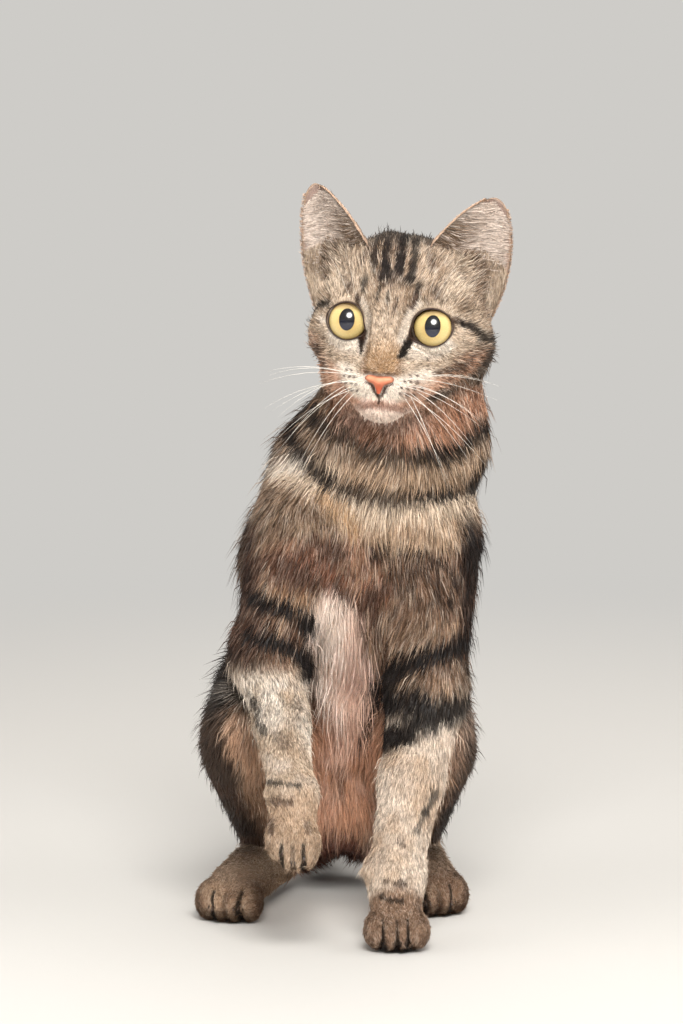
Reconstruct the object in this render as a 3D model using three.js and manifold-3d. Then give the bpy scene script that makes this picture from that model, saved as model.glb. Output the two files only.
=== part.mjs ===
// A life-size, still model of a young short-haired tabby cat. It sits upright on its haunches with its right
// forepaw lifted, its left foreleg planted and its head turned a little to its own right.
//
// Units are millimetres, +Z is up, and the cat faces -Y, so that +X is the cat's own left.
// The body, out to the tips of its coat, is a smooth union of tapered bones and ellipsoids. It is turned into
// faceted solids, and parted into named pieces with thin cuts. Ears, eyes and nose are pieces of their own.

import * as THREE from 'three';
import { mergeVertices } from 'three/addons/utils/BufferGeometryUtils.js';
import Module from 'manifold-3d';

// ---------------------------------------------------------------------------------------------------------
// Driving dimensions
// ---------------------------------------------------------------------------------------------------------

const GAP = 0.35; // between touching pieces

// How closely the faceted solids follow the fields: the cell that each part of the body is sampled with, and
// the most that thinning may take away, as a sum of squared distances in mm.
const FINE = { cell: 3, error: 1 }; // head and feet
const COARSE = { cell: 4, error: 5.2 }; // trunk, arms and legs
const SMALL = { cell: 2, error: 0.25 }; // nose
const THINNING_ROUNDS = 30;

// The head has a frame of its own: its origin lies midway between the eyeballs, x is the cat's left, y runs
// backwards and z up.
const HEAD_PLACE = [22.7, -32, 282];
const HEAD_TURN = -7.5; // degrees about z, to the cat's right
const HEAD_ROLL = 4.5; // degrees about y, left ear down
const EYE_APART = 39; // between the centres of the eyeballs
const EYE_R = 10.4;

// The spine's stations: place, and the half thickness of the body there.
const PELVIS = [-2, 76, 58];
const LOIN = [2, 64, 112];
const RIBS = [4, 34, 166];
const WITHERS = [15, 20, 206];
const NECK_BASE = [27, 6, 228];
const NECK_TOP = [31, 2, 262];

// The planted left foreleg.
const SHOULDER_L = [42, -2, 180];
const ELBOW_L = [40, -10, 110];
const WRIST_L = [24.8, -54, 31];
const TOES_L = [25, -74, 9];

// The lifted right foreleg.
const SHOULDER_R = [-18, -6, 182];
const ELBOW_R = [-33, -18, 128];
const WRIST_R = [-22, -82, 72];
const TOES_R = [-21.5, -94, 51.5];

// The hind legs, folded under the body with their feet on the floor to the heel.
const HIP_R = [-26, 74, 70];
const KNEE_R = [-45, -4, 92];
const HOCK_R = [-33.5, 62, 19];
const HIND_TOES_R = [-52.5, -6, 8.5];
const HIP_L = [22, 78, 70];
const KNEE_L = [42, 2, 90];
const HOCK_L = [33, 70, 19];
const HIND_TOES_L = [44, 8, 8.5];

// The tail leaves the rump and lies on the floor behind, in an easy curve to the cat's left.
const TAIL = [[-6, 104, 34], [-12, 126, 18], [-17, 150, 12], [-14, 174, 11], [2, 193, 10], [24, 204, 9]];
const TAIL_R = [15, 9];

// Where the body is parted. A limb is cut out along a capsule round its bone, and the trunk along planes.
const CUT_R = { upperarm: 30, forearm: 22, forepaw: 30, thigh: 41, shank: 26 };
const HIP_CUT = 24; // from the middle of the pelvis to the inner side of each thigh
const ANKLE_CUT = 34; // height of the top of the hind feet
const HEEL = 98; // how far back they reach
const TAIL_CUTS = [124, 158, 198]; // where each length of the tail starts
const THROAT = { point: [30, 0, 247], normal: [0, -0.3, 1] };
const COLLAR = { point: [22, 12, 216], normal: [0.1, -0.35, 1] };
const MIDRIFF = { point: [0, 50, 146], normal: [0, 0.1, 1] };
const FLANK = { point: [0, 60, 96], normal: [0, 0.3, 1] };

// ---------------------------------------------------------------------------------------------------------
// Fields: functions of a point that are negative inside a shape, in millimetres
// ---------------------------------------------------------------------------------------------------------

const radians = THREE.MathUtils.degToRad;
const mix = (a, b, t) => a + (b - a) * t;
const clamp01 = (t) => Math.min(1, Math.max(0, t));
const mixPoint = (a, b, t) => a.map((v, i) => mix(v, b[i], t));

/** A tapered bone from a to b. Its section is an ellipse, `wide` times as wide along x as it is deep. */
function bone(a, b, ra, rb, wide = 1) {
  const d = b.map((v, i) => v - a[i]);
  const dd = Math.max(1e-9, d[0] * d[0] + d[1] * d[1] + d[2] * d[2]);
  return (x, y, z) => {
    const [px, py, pz] = [x - a[0], y - a[1], z - a[2]];
    const t = clamp01((px * d[0] + py * d[1] + pz * d[2]) / dd);
    const [qx, qy, qz] = [(px - t * d[0]) / wide, py - t * d[1], pz - t * d[2]];
    return Math.sqrt(qx * qx + qy * qy + qz * qz) - mix(ra, rb, t);
  };
}

/** An ellipsoid with its centre at c and the radii r along x, y and z. */
function blob(c, r) {
  return (x, y, z) => {
    const [qx, qy, qz] = [(x - c[0]) / r[0], (y - c[1]) / r[1], (z - c[2]) / r[2]];
    const k0 = Math.sqrt(qx * qx + qy * qy + qz * qz);
    const k1 = Math.sqrt((qx / r[0]) ** 2 + (qy / r[1]) ** 2 + (qz / r[2]) ** 2);
    return k1 < 1e-9 ? -Math.min(...r) : (k0 * (k0 - 1)) / k1;
  };
}

/** The union of two distances, rounded over a width of k. */
function smoothMin(a, b, k) {
  const h = Math.max(k - Math.abs(a - b), 0) / k;
  return Math.min(a, b) - (h * h * k) / 4;
}

/** What is left of the first distance when the second is hollowed out of it, rounded over a width of k. */
const smoothCut = (a, b, k) => -smoothMin(-a, b, k);

/** Joins [field, k] pairs, each blended into those before it over the width k. */
function blend(parts) {
  return (x, y, z) => {
    let d = 1e3;
    for (const [field, k] of parts) d = smoothMin(d, field(x, y, z), k);
    return d;
  };
}

// ---------------------------------------------------------------------------------------------------------
// The flesh
// ---------------------------------------------------------------------------------------------------------

const headMatrix = new THREE.Matrix4()
  .makeTranslation(...HEAD_PLACE)
  .multiply(new THREE.Matrix4().makeRotationZ(radians(HEAD_TURN)))
  .multiply(new THREE.Matrix4().makeRotationY(radians(HEAD_ROLL)));
const headInverse = headMatrix.clone().invert();

/** The same field for a paired feature of the head: x is taken as the distance from the middle. */
const paired = (field, middle = 0) => (x, y, z) => field(Math.abs(x - middle), y, z);

const headField = blend([
  [blob([2.2, 24, 10], [37.5, 38, 32]), 1], // skull
  [paired(blob([24.5, 22, -6], [19.5, 26, 19.5]), 2.8), 10], // cheeks
  [blob([-1, 10, -24], [32, 28, 20]), 8], // jaw
  [blob([0, -8, -26], [19, 18, 14]), 10], // muzzle
  [bone([0, -6, 1], [0, -21.5, -15], 9.5, 7.2), 7], // bridge of the nose
  [paired(blob([8, -18, -25.5], [10.5, 11.5, 8.8])), 5], // whisker pads
  [blob([0, -14, -36], [12, 11, 8]), 5], // chin
  [paired(bone([9, -5, 10], [29, 4, 11], 6, 6)), 6], // brow
  [paired(blob([EYE_APART / 2, 0.5, 0], [12.3, 11.8, 12])), 3], // lids
  [paired(blob([27, 27, 26], [11, 9, 13])), 9], // roots of the ears
]);

/** The head's field at a point of the model. */
function head(x, y, z) {
  const e = headInverse.elements;
  return headField(
    e[0] * x + e[4] * y + e[8] * z + e[12],
    e[1] * x + e[5] * y + e[9] * z + e[13],
    e[2] * x + e[6] * y + e[10] * z + e[14],
  );
}

/**
 * The four toes at the end of a paw, as [field, k] pairs. They stand `across` apart and point along `reach`,
 * which the outer two take only a share of.
 */
function toes(end, across, reach, share, r) {
  const radii = Math.abs(reach[2]) > Math.abs(reach[1]) ? [r * 0.85, r * 1.1, r * 1.35] : [r * 0.85, r * 1.25, r];
  return [-1.5, -0.5, 0.5, 1.5].map((i) => {
    const c = end.map((v, j) => v + across[j] * i + reach[j] * (Math.abs(i) < 1 ? 1 : share));
    return [blob(c, radii), 1.5];
  });
}

function foreleg(shoulder, elbow, wrist, toe, reach, share, spread, stout) {
  const middle = mixPoint(elbow, wrist, 0.5);
  return [
    [bone(shoulder, elbow, 27, 20, 0.85), 18],
    [bone(elbow, middle, 18, 14 * stout), 10],
    [bone(middle, wrist, 14 * stout, 12 * stout), 6],
    [bone(wrist, mixPoint(wrist, toe, 0.62), 12 * stout, 11.5 * stout), 5],
    ...toes(toe, [spread, 0, 0], reach, share, 7.6 * stout),
  ];
}

function hindleg(hip, knee, hock, toe) {
  const out = Math.sign(knee[0] - hip[0]);
  const ball = mixPoint(hock, toe, 0.84);
  return [
    [bone(hip, knee, 38, 25, 0.78), 14],
    [blob([out * 42, 27, 100], [18, 32, 28]), 10], // fullness over the thigh
    [bone([knee[0] + out * 2, knee[1] + 8, knee[2] - 12], hock, 22, 14, 0.9), 8],
    [bone(hock, [ball[0], ball[1], ball[2] + 4], 13.5, 12.5, 1.15), 5],
    ...toes(toe, [6.3, out * 2, 0], [out * 1.5, -5, 0], 0.4, 8.4),
  ];
}

const trunkField = [
  [bone(PELVIS, LOIN, 42, 46, 1.02), 1],
  [bone(LOIN, RIBS, 46, 48, 1), 20],
  [bone(RIBS, WITHERS, 48, 44, 1.03), 14],
  [blob([-4, 92, 34], [34, 26, 34]), 16], // rump
];
const neckField = [
  [bone(WITHERS, NECK_BASE, 42, 35, 1.11), 14],
  [bone(NECK_BASE, NECK_TOP, 35, 31, 1.18), 12],
];
const tailField = TAIL.slice(1).map((b, i) => {
  const r = (j) => mix(TAIL_R[0], TAIL_R[1], j / (TAIL.length - 1));
  return [bone(TAIL[i], b, r(i), r(i + 1)), i ? 3 : 8];
});

const trunk = [...trunkField, ...neckField];
const armR = foreleg(SHOULDER_R, ELBOW_R, WRIST_R, TOES_R, [0, 1, -2.4], -0.9, 4.3, 0.9);
const armL = foreleg(SHOULDER_L, ELBOW_L, WRIST_L, TOES_L, [0, -5, 0], 0.4, 5.7, 1.06);
const legR = hindleg(HIP_R, KNEE_R, HOCK_R, HIND_TOES_R);
const legL = hindleg(HIP_L, KNEE_L, HOCK_L, HIND_TOES_L);

// Under the belly, between the hind legs and in front of the rump
const hollow = blob([-1, 40, 4], [17, 38, 25]);
const hollowed = (body) => (x, y, z) => smoothCut(body(x, y, z), hollow(x, y, z), 6);

const foreBody = blend([...trunk, ...armR, ...armL]);
const hindBody = hollowed(blend([...trunk, ...legR, ...legL, ...tailField]));
const headBody = blend([...trunk, armR[0], armL[0], [head, 9]]);
const rootBody = hollowed(blend([...trunk, legR[0], legR[1], legL[0], legL[1], tailField[0]]));

// ---------------------------------------------------------------------------------------------------------
// Solids
// ---------------------------------------------------------------------------------------------------------

const wasm = await Module();
wasm.setup();

/** Clears each face of the grid whose corners are inside and outside in turn, which has no one surface. */
function settle(value, n) {
  const step = [1, n[0], n[0] * n[1]];
  let unsettled = true;
  while (unsettled) {
    unsettled = false;
    for (let at = 0; at < value.length - step[2] - step[1]; at++)
      for (let axis = 0; axis < 3; axis++) {
        const [u, v] = [step[axis], step[(axis + 1) % 3]];
        const corners = [at, at + u, at + u + v, at + v];
        const [a, b, c, d] = corners.map((i) => value[i] < 0);
        if (a !== c || b !== d || a === b) continue;
        const weakest = corners.filter((i) => value[i] < 0).sort((i, j) => value[j] - value[i])[0];
        value[weakest] = 0.01;
        unsettled = true;
      }
  }
}

const solidFrom = (vertices, triangles) =>
  new wasm.Manifold(
    new wasm.Mesh({
      numProp: 3,
      vertProperties: new Float32Array(vertices),
      triVerts: new Uint32Array(triangles),
    }),
  );

/**
 * The same surface with fewer triangles. Each round takes out the edges whose loss moves the surface least,
 * where the planes that meet at an edge's ends are all within a small distance of the corner left there.
 */
function thinned(vertices, triangles, error) {
  let points = [];
  for (let i = 0; i < vertices.length; i += 3) points.push(vertices.slice(i, i + 3));
  let faces = [];
  for (let i = 0; i < triangles.length; i += 3) faces.push(triangles.slice(i, i + 3));
  for (let round = 0; round < THINNING_ROUNDS; round++) {
    const around = points.map(() => []);
    faces.forEach((f, i) => f.forEach((v) => around[v].push(i)));
    const planes = faces.map((f) => planeOf(...f.map((v) => points[v])));
    const edges = [];
    for (const f of faces)
      for (let c = 0; c < 3; c++) {
        const [a, b] = [f[c], f[(c + 1) % 3]];
        if (a > b) continue;
        const near = [...around[a], ...around[b]].map((i) => planes[i]);
        const middle = mixPoint(points[a], points[b], 0.5);
        let best = null;
        for (const p of [middle, points[a], points[b]]) {
          const off = (q) => q[0] * p[0] + q[1] * p[1] + q[2] * p[2] - q[3];
          const cost = near.reduce((sum, q) => sum + off(q) ** 2, 0);
          if (!best || cost < best.cost) best = { cost, p };
        }
        if (best.cost < error) edges.push({ a, b, ...best });
      }
    edges.sort((e, f) => e.cost - f.cost);
    const locked = new Uint8Array(points.length);
    const into = points.map((p, i) => i);
    let taken = 0;
    for (const { a, b, p } of edges) {
      if (locked[a] || locked[b]) continue;
      const ring = (v) => new Set(around[v].flatMap((i) => faces[i]).filter((w) => w !== v));
      const [ringA, ringB] = [ring(a), ring(b)];
      if ([...ringA].filter((v) => ringB.has(v)).length !== 2) continue;
      const both = (i) => faces[i].includes(a) && faces[i].includes(b);
      const kept = [...around[a], ...around[b]].filter((i) => !both(i));
      const turned = kept.some((i) => {
        const after = planeOf(...faces[i].map((v) => (v === a || v === b ? p : points[v])));
        return !(after[0] * planes[i][0] + after[1] * planes[i][1] + after[2] * planes[i][2] > 0.6);
      });
      if (turned) continue;
      points[a] = p;
      into[b] = a;
      for (const v of [...ringA, ...ringB]) locked[v] = 1;
      taken++;
    }
    faces = faces.map((f) => f.map((v) => into[v])).filter(([a, b, c]) => a !== b && b !== c && c !== a);
    if (!taken) break;
  }
  const used = [...new Set(faces.flat())];
  const place = new Map(used.map((v, i) => [v, i]));
  return [used.flatMap((v) => points[v]), faces.flat().map((v) => place.get(v))];
}

/** The plane through three points: its unit normal, and its distance from the origin. */
function planeOf(a, b, c) {
  const [ux, uy, uz] = [b[0] - a[0], b[1] - a[1], b[2] - a[2]];
  const [vx, vy, vz] = [c[0] - a[0], c[1] - a[1], c[2] - a[2]];
  const n = [uy * vz - uz * vy, uz * vx - ux * vz, ux * vy - uy * vx];
  const size = Math.hypot(...n) || 1e-9;
  const [x, y, z] = n.map((v) => v / size);
  return [x, y, z, x * a[0] + y * a[1] + z * a[2]];
}

/** The closed surface where the field is zero in a box, as a solid: one vertex for each cell it crosses. */
function carve(field, low, high, { cell, error }) {
  const n = low.map((v, i) => Math.ceil((high[i] - v) / cell) + 1);
  const index = (i, j, k) => (k * n[1] + j) * n[0] + i;
  const at = (i, j, k) => [low[0] + i * cell, low[1] + j * cell, low[2] + k * cell];
  const value = new Float32Array(n[0] * n[1] * n[2]);
  const edge = (i, j, k) => !i || !j || !k || i === n[0] - 1 || j === n[1] - 1 || k === n[2] - 1;
  for (let k = 0; k < n[2]; k++)
    for (let j = 0; j < n[1]; j++)
      for (let i = 0; i < n[0]; i++)
        value[index(i, j, k)] = edge(i, j, k) ? Math.max(0.1, field(...at(i, j, k))) : field(...at(i, j, k));

  settle(value, n);

  const vertices = [];
  const vertexOf = new Int32Array(value.length).fill(-1);
  for (let k = 0; k < n[2] - 1; k++)
    for (let j = 0; j < n[1] - 1; j++)
      for (let i = 0; i < n[0] - 1; i++) {
        const sum = [0, 0, 0];
        let crossings = 0;
        for (let axis = 0; axis < 3; axis++)
          for (let corner = 0; corner < 4; corner++) {
            const step = [0, 0, 0];
            step[(axis + 1) % 3] = corner & 1;
            step[(axis + 2) % 3] = corner >> 1;
            const far = step.map((v, m) => v + (m === axis ? 1 : 0));
            const a = value[index(i + step[0], j + step[1], k + step[2])];
            const b = value[index(i + far[0], j + far[1], k + far[2])];
            if (a < 0 === b < 0) continue;
            for (let m = 0; m < 3; m++) sum[m] += step[m] + (m === axis ? a / (a - b) : 0);
            crossings++;
          }
        if (!crossings) continue;
        vertexOf[index(i, j, k)] = vertices.length / 3;
        vertices.push(...at(i, j, k).map((v, m) => v + (sum[m] / crossings) * cell));
      }

  const triangles = [];
  const unit = [[1, 0, 0], [0, 1, 0], [0, 0, 1]];
  for (let k = 0; k < n[2] - 1; k++)
    for (let j = 0; j < n[1] - 1; j++)
      for (let i = 0; i < n[0] - 1; i++)
        for (let axis = 0; axis < 3; axis++) {
          if (![i, j, k][(axis + 1) % 3] || ![i, j, k][(axis + 2) % 3]) continue;
          const [e, u, v] = [unit[axis], unit[(axis + 1) % 3], unit[(axis + 2) % 3]];
          const a = value[index(i, j, k)];
          const b = value[index(i + e[0], j + e[1], k + e[2])];
          if (a < 0 === b < 0) continue;
          const quad = [[0, 0], [1, 0], [1, 1], [0, 1]].map(([s, t]) =>
            vertexOf[index(i - s * u[0] - t * v[0], j - s * u[1] - t * v[1], k - s * u[2] - t * v[2])]);
          const [p, q, r, s] = a < 0 ? quad : quad.reverse();
          triangles.push(p, q, r, p, r, s);
        }
  return solidFrom(...thinned(vertices, triangles, error));
}

function solidOf(geometry, matrix) {
  geometry.deleteAttribute('normal');
  geometry.deleteAttribute('uv');
  const merged = mergeVertices(geometry.applyMatrix4(matrix), 1e-3);
  return solidFrom(merged.attributes.position.array, merged.index.array);
}

/** A capsule from a to b, as a cutter. */
function capsule(a, b, r) {
  const [from, to] = [new THREE.Vector3(...a), new THREE.Vector3(...b)];
  const axis = to.clone().sub(from);
  const upright = new THREE.Vector3(0, 1, 0);
  const turn = new THREE.Quaternion().setFromUnitVectors(upright, axis.clone().normalize());
  const matrix = new THREE.Matrix4().compose(from.lerp(to, 0.5), turn, new THREE.Vector3(1, 1, 1));
  return solidOf(new THREE.CapsuleGeometry(r, axis.length(), 4, 14), matrix);
}

/** The solid with every corner moved out along its normal. */
function grown(solid, by) {
  const made = solid.getMesh();
  const geometry = geometryOf(made);
  const normals = geometry.attributes.normal.array;
  const vertProperties = geometry.attributes.position.array.map((v, i) => v + normals[i] * by);
  return solidFrom(vertProperties, made.triVerts);
}

function geometryOf(made) {
  const positions = new Float32Array(made.numVert * 3);
  for (let i = 0; i < made.numVert; i++)
    positions.set(made.vertProperties.subarray(i * made.numProp, i * made.numProp + 3), i * 3);
  const geometry = new THREE.BufferGeometry();
  geometry.setAttribute('position', new THREE.BufferAttribute(positions, 3));
  geometry.setIndex(new THREE.BufferAttribute(made.triVerts, 1));
  geometry.computeVertexNormals();
  return geometry;
}

// ---------------------------------------------------------------------------------------------------------
// Ears, eyes and nose, in the head's frame
// ---------------------------------------------------------------------------------------------------------

// The edges of each ear, next the crown and outwards, as the foot, the middle and the end. They are given for
// the left half of the head. The right ear is pricked a little more, and so it's narrower from the front.
const EAR_EDGES = {
  l: { inner: [[15, 9, 38], [27, 9, 55], [38.5, 14.5, 60.5]], outer: [[41, 34, 2], [55, 30, 31], [47, 17.5, 57]] },
  r: { inner: [[15, 8.5, 36], [27.5, 9.5, 54], [39.5, 14.5, 61]], outer: [[39, 34, 2], [51.5, 30, 31], [46.2, 17.5, 57]] },
};
const EAR = {
  crest: [0.2, 0, 2.4], // how far the rounded tip stands over the line between the two ends
  face: [0.45, -0.88, 0.1], // the way it opens
  cup: 13, // depth at its foot
  thick: 3.6,
  rim: 1.6,
};

const curve = ([a, b, c], t) => a.map((v, i) => v * (1 - t) ** 2 + 2 * b[i] * t * (1 - t) + c[i] * t ** 2);

/** A point of one side of an ear's shell: s runs from the inner edge to the outer, t from foot to tip. */
function earPoint({ inner, outer }, s, t, side) {
  const across = mixPoint(curve(inner, t), curve(outer, t), s);
  const bow = 4 * s * (1 - s);
  const thick = mix(EAR.rim, EAR.thick, bow * (1 - t));
  const depth = EAR.cup * Math.max(0, 1 - t) ** 0.8 * bow - (side * thick) / 2;
  const crest = bow * Math.max(0, t) ** 2;
  return across.map((v, i) => v - EAR.face[i] * depth + EAR.crest[i] * crest);
}

function ear(mirror) {
  const edges = EAR_EDGES[mirror > 0 ? 'l' : 'r'];
  const [across, up] = [8, 8];
  const ring = [];
  for (let i = 0; i <= across; i++) ring.push([i / across, 1]);
  for (let i = across; i >= 0; i--) ring.push([i / across, -1]);
  const vertices = [];
  for (let j = 0; j <= up; j++)
    for (const [s, side] of ring) vertices.push(earPoint(edges, s, mix(-0.2, 1, j / up), side));
  const triangles = [];
  const n = ring.length;
  for (let j = 0; j < up; j++)
    for (let i = 0; i < n; i++) {
      const [a, b] = [j * n + i, j * n + ((i + 1) % n)];
      triangles.push(a, b, b + n, a, b + n, a + n);
    }
  for (let i = 0; i < across; i++)
    for (const [row, flip] of [[0, true], [up * n, false]]) {
      const [a, b, c, d] = [row + i, row + i + 1, row + n - 2 - i, row + n - 1 - i];
      triangles.push(...(flip ? [a, c, b, a, d, c] : [a, b, c, a, c, d]));
    }
  const placed = vertices.map(([x, y, z]) => new THREE.Vector3(mirror * x, y, z).applyMatrix4(headMatrix));
  const flipped = mirror > 0 ? triangles : triangles.slice().reverse();
  return solidFrom(placed.flatMap((p) => [p.x, p.y, p.z]), flipped);
}

const noseField = blend([
  [blob([0, -25.6, -23.4], [6.3, 6.2, 3.4]), 1],
  [bone([0, -28.2, -25], [0, -27.2, -28.6], 3, 1.8), 3],
]);

function nose() {
  const made = carve(noseField, [-10, -36, -36], [10, -18, -12], SMALL).getMesh();
  const placed = geometryOf(made).applyMatrix4(headMatrix);
  return solidFrom(placed.attributes.position.array, made.triVerts);
}

const eyeMatrix = (mirror) =>
  new THREE.Matrix4().makeTranslation((mirror * EYE_APART) / 2, 0, 0).premultiply(headMatrix);
const eyeball = (mirror, r) => solidOf(new THREE.SphereGeometry(r, 16, 10), eyeMatrix(mirror));

/** The opening between the lids, as a cutter that widens forwards from the middle of the eye. */
function eyeOpening(mirror) {
  const [inside, outside, depth] = [8.6, 10, 18];
  const cone = new THREE.CylinderGeometry(inside, outside, depth, 16).translate(0, -depth / 2, 0);
  return solidOf(cone.scale(1.04, 1, 0.95), eyeMatrix(mirror));
}

// ---------------------------------------------------------------------------------------------------------
// Cuts
// ---------------------------------------------------------------------------------------------------------

const direction = (from, to) => new THREE.Vector3(...to).sub(new THREE.Vector3(...from)).normalize();
const reverse = ({ point, normal }) => ({ point, normal: normal.map((v) => -v) });

/** The part of a solid on the side of a plane that its normal points to, from `gap` beyond the plane on. */
function above(solid, { point, normal }, gap = GAP / 2) {
  const n = new THREE.Vector3(...normal).normalize();
  return solid.trimByPlane(n.toArray(), n.dot(new THREE.Vector3(...point)) + gap);
}

const below = (solid, plane, gap) => above(solid, reverse(plane), gap);
const largest = (solid) => solid.decompose().sort((a, b) => b.volume() - a.volume())[0];
const onFloor = (solid) => above(solid, { point: [0, 0, 0], normal: [0, 0, 1] }, 0);

// ---------------------------------------------------------------------------------------------------------
// The pieces
// ---------------------------------------------------------------------------------------------------------

const pieces = {};
const rooms = []; // what the limbs take out of the trunk

/** One foreleg, in three lengths parted at the elbow and the wrist. */
function cutForeleg(side, arm, paw, shoulder, elbow, wrist, toe) {
  const atElbow = { point: elbow, normal: direction(shoulder, elbow).add(direction(elbow, wrist)).toArray() };
  const atWrist = { point: wrist, normal: direction(elbow, wrist).add(direction(wrist, toe)).toArray() };
  const [upper, lower] = [capsule(shoulder, elbow, CUT_R.upperarm), capsule(elbow, wrist, CUT_R.forearm)];
  pieces[`upperarm_${side}`] = largest(below(arm, atElbow).intersect(upper));
  pieces[`forearm_${side}`] = largest(below(above(arm, atElbow).intersect(lower), atWrist));
  pieces[`forepaw_${side}`] = largest(above(paw, atWrist).intersect(capsule(wrist, toe, CUT_R.forepaw)));
  rooms.push(below(capsule(shoulder, elbow, CUT_R.upperarm + GAP), atElbow, -GAP));
  rooms.push(above(capsule(elbow, wrist, CUT_R.forearm + GAP), atElbow, -GAP));
}

/** One hind leg: the thigh, the shank below it, and the foot from toes to heel. */
function cutHindleg(side, out, leg, sole, hip, knee, hock) {
  const inner = { point: [PELVIS[0] + out * HIP_CUT, 0, 0], normal: [out, 0, 0] };
  const ankle = { point: [0, 0, ANKLE_CUT], normal: [0, 0, 1] };
  const heel = { point: [0, HEEL, 0], normal: [0, -1, 0] };
  const upper = (gap) => above(capsule(hip, knee, CUT_R.thigh + gap), inner, -gap);
  const lower = (gap) => above(capsule(knee, hock, CUT_R.shank + gap), inner, -gap);
  const foot = (solid) => above(below(above(solid, inner), ankle), heel);
  pieces[`thigh_${side}`] = largest(above(leg.intersect(upper(0)), ankle));
  pieces[`shank_${side}`] = largest(above(leg.intersect(lower(0)).subtract(upper(GAP)), ankle));
  pieces[`hindfoot_${side}`] = largest(foot(sole));
  const footRoom = new THREE.BoxGeometry(200, 200, ANKLE_CUT + GAP).translate(out * 100, HEEL - 100 + GAP, 0);
  const halfway = new THREE.Matrix4().makeTranslation(inner.point[0], 0, ANKLE_CUT / 2);
  rooms.push(upper(GAP), lower(GAP), solidOf(footRoom, halfway));
}

function cutTail(rear) {
  ['tail_base', 'tail_middle', 'tail_tip'].forEach((name, i) => {
    const start = { point: [0, TAIL_CUTS[i], 0], normal: [0, 1, 0] };
    const end = { point: [0, TAIL_CUTS[i + 1] ?? TAIL_CUTS[i] + 100, 0], normal: [0, 1, 0] };
    pieces[name] = below(above(rear, start), end);
  });
}

function cutTrunk(front, rear) {
  for (const room of rooms) [front, rear] = [front.subtract(room), rear.subtract(room)];
  pieces.neck = largest(below(above(front, COLLAR), THROAT));
  pieces.chest = largest(below(above(front, MIDRIFF), COLLAR));
  pieces.abdomen = largest(below(above(rear, FLANK), MIDRIFF));
  pieces.rump = largest(below(below(rear, FLANK), { point: [0, TAIL_CUTS[0], 0], normal: [0, 1, 0] }));
}

function cutHead(solid) {
  pieces.nose = nose();
  let skull = above(solid, THROAT).subtract(grown(pieces.nose, GAP));
  for (const [side, mirror] of [['l', 1], ['r', -1]]) {
    pieces[`eye_${side}`] = eyeball(mirror, EYE_R);
    skull = skull.subtract(eyeball(mirror, EYE_R + GAP)).subtract(eyeOpening(mirror));
  }
  pieces.head = largest(skull);
  for (const [side, mirror] of [['l', 1], ['r', -1]])
    pieces[`ear_${side}`] = largest(ear(mirror).subtract(grown(pieces.head, GAP)));
}

const arms = onFloor(carve(foreBody, [-80, -116, -8], [80, 40, 216], COARSE));
const paws = onFloor(carve(foreBody, [-80, -116, -8], [80, -30, 90], FINE));
cutForeleg('r', arms, paws, SHOULDER_R, ELBOW_R, WRIST_R, TOES_R);
cutForeleg('l', arms, paws, SHOULDER_L, ELBOW_L, WRIST_L, TOES_L);

// The left elbow rests on the left knee, so the forelegs are cut out of the hind legs.
const clear = Object.values(pieces).reduce(
  (legs, foreleg) => legs.subtract(foreleg.add(grown(foreleg, GAP))),
  onFloor(carve(hindBody, [-90, -40, -8], [80, 250, 150], COARSE)),
);
const soles = onFloor(carve(hindBody, [-90, -40, -8], [90, 110, 46], FINE));
cutHindleg('r', -1, clear, soles, HIP_R, KNEE_R, HOCK_R);
cutHindleg('l', 1, clear, soles, HIP_L, KNEE_L, HOCK_L);
cutTail(clear);

const forehand = carve(headBody, [-70, -80, 100], [90, 150, 284], COARSE);
const quarters = onFloor(carve(rootBody, [-90, -40, -8], [90, 150, 190], COARSE));
cutTrunk(forehand, quarters);
cutHead(carve(headBody, [-40, -84, 212], [90, 52, 340], FINE));

// ---------------------------------------------------------------------------------------------------------
// The scene graph
// ---------------------------------------------------------------------------------------------------------

const COAT = 0x7f6a54;
const COLOURS = {
  eye: 0xd2b860,
  nose: 0xc58773,
  ear: 0xb89a80,
  head: 0x94806a,
  neck: 0x8a735a,
  forepaw: 0xa9987f,
  forearm: 0xa08c70,
  hindfoot: 0x85705a,
};

const group = new THREE.Group();
for (const [name, solid] of Object.entries(pieces)) {
  const kind = name.split('_')[0];
  const material = new THREE.MeshStandardMaterial({
    color: COLOURS[kind] ?? COAT,
    roughness: kind === 'eye' ? 0.1 : 0.85,
    metalness: 0,
  });
  const mesh = new THREE.Mesh(geometryOf(solid.getMesh()), material);
  mesh.name = name;
  group.add(mesh);
}

// The origin is at the middle of the bottom of the cat's box.
const box = new THREE.Box3().setFromObject(group);
const middle = box.getCenter(new THREE.Vector3());
group.position.set(-middle.x, -middle.y, -box.min.z);

export default group;
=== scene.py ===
"""A still, life-size model of a young short-haired tabby cat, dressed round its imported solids.

The skin is one surface, made from the same bones and ellipsoids as the solids, a coat's depth inside them. The
coat is thin blades of mesh that lie along the body. Lengths are in millimetres in the cat's own frame, where the
cat faces -Y and +X is its left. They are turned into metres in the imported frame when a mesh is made.
"""

import math

import bpy
import numpy as np
import openvdb
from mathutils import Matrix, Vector
from mathutils.kdtree import KDTree


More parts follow.
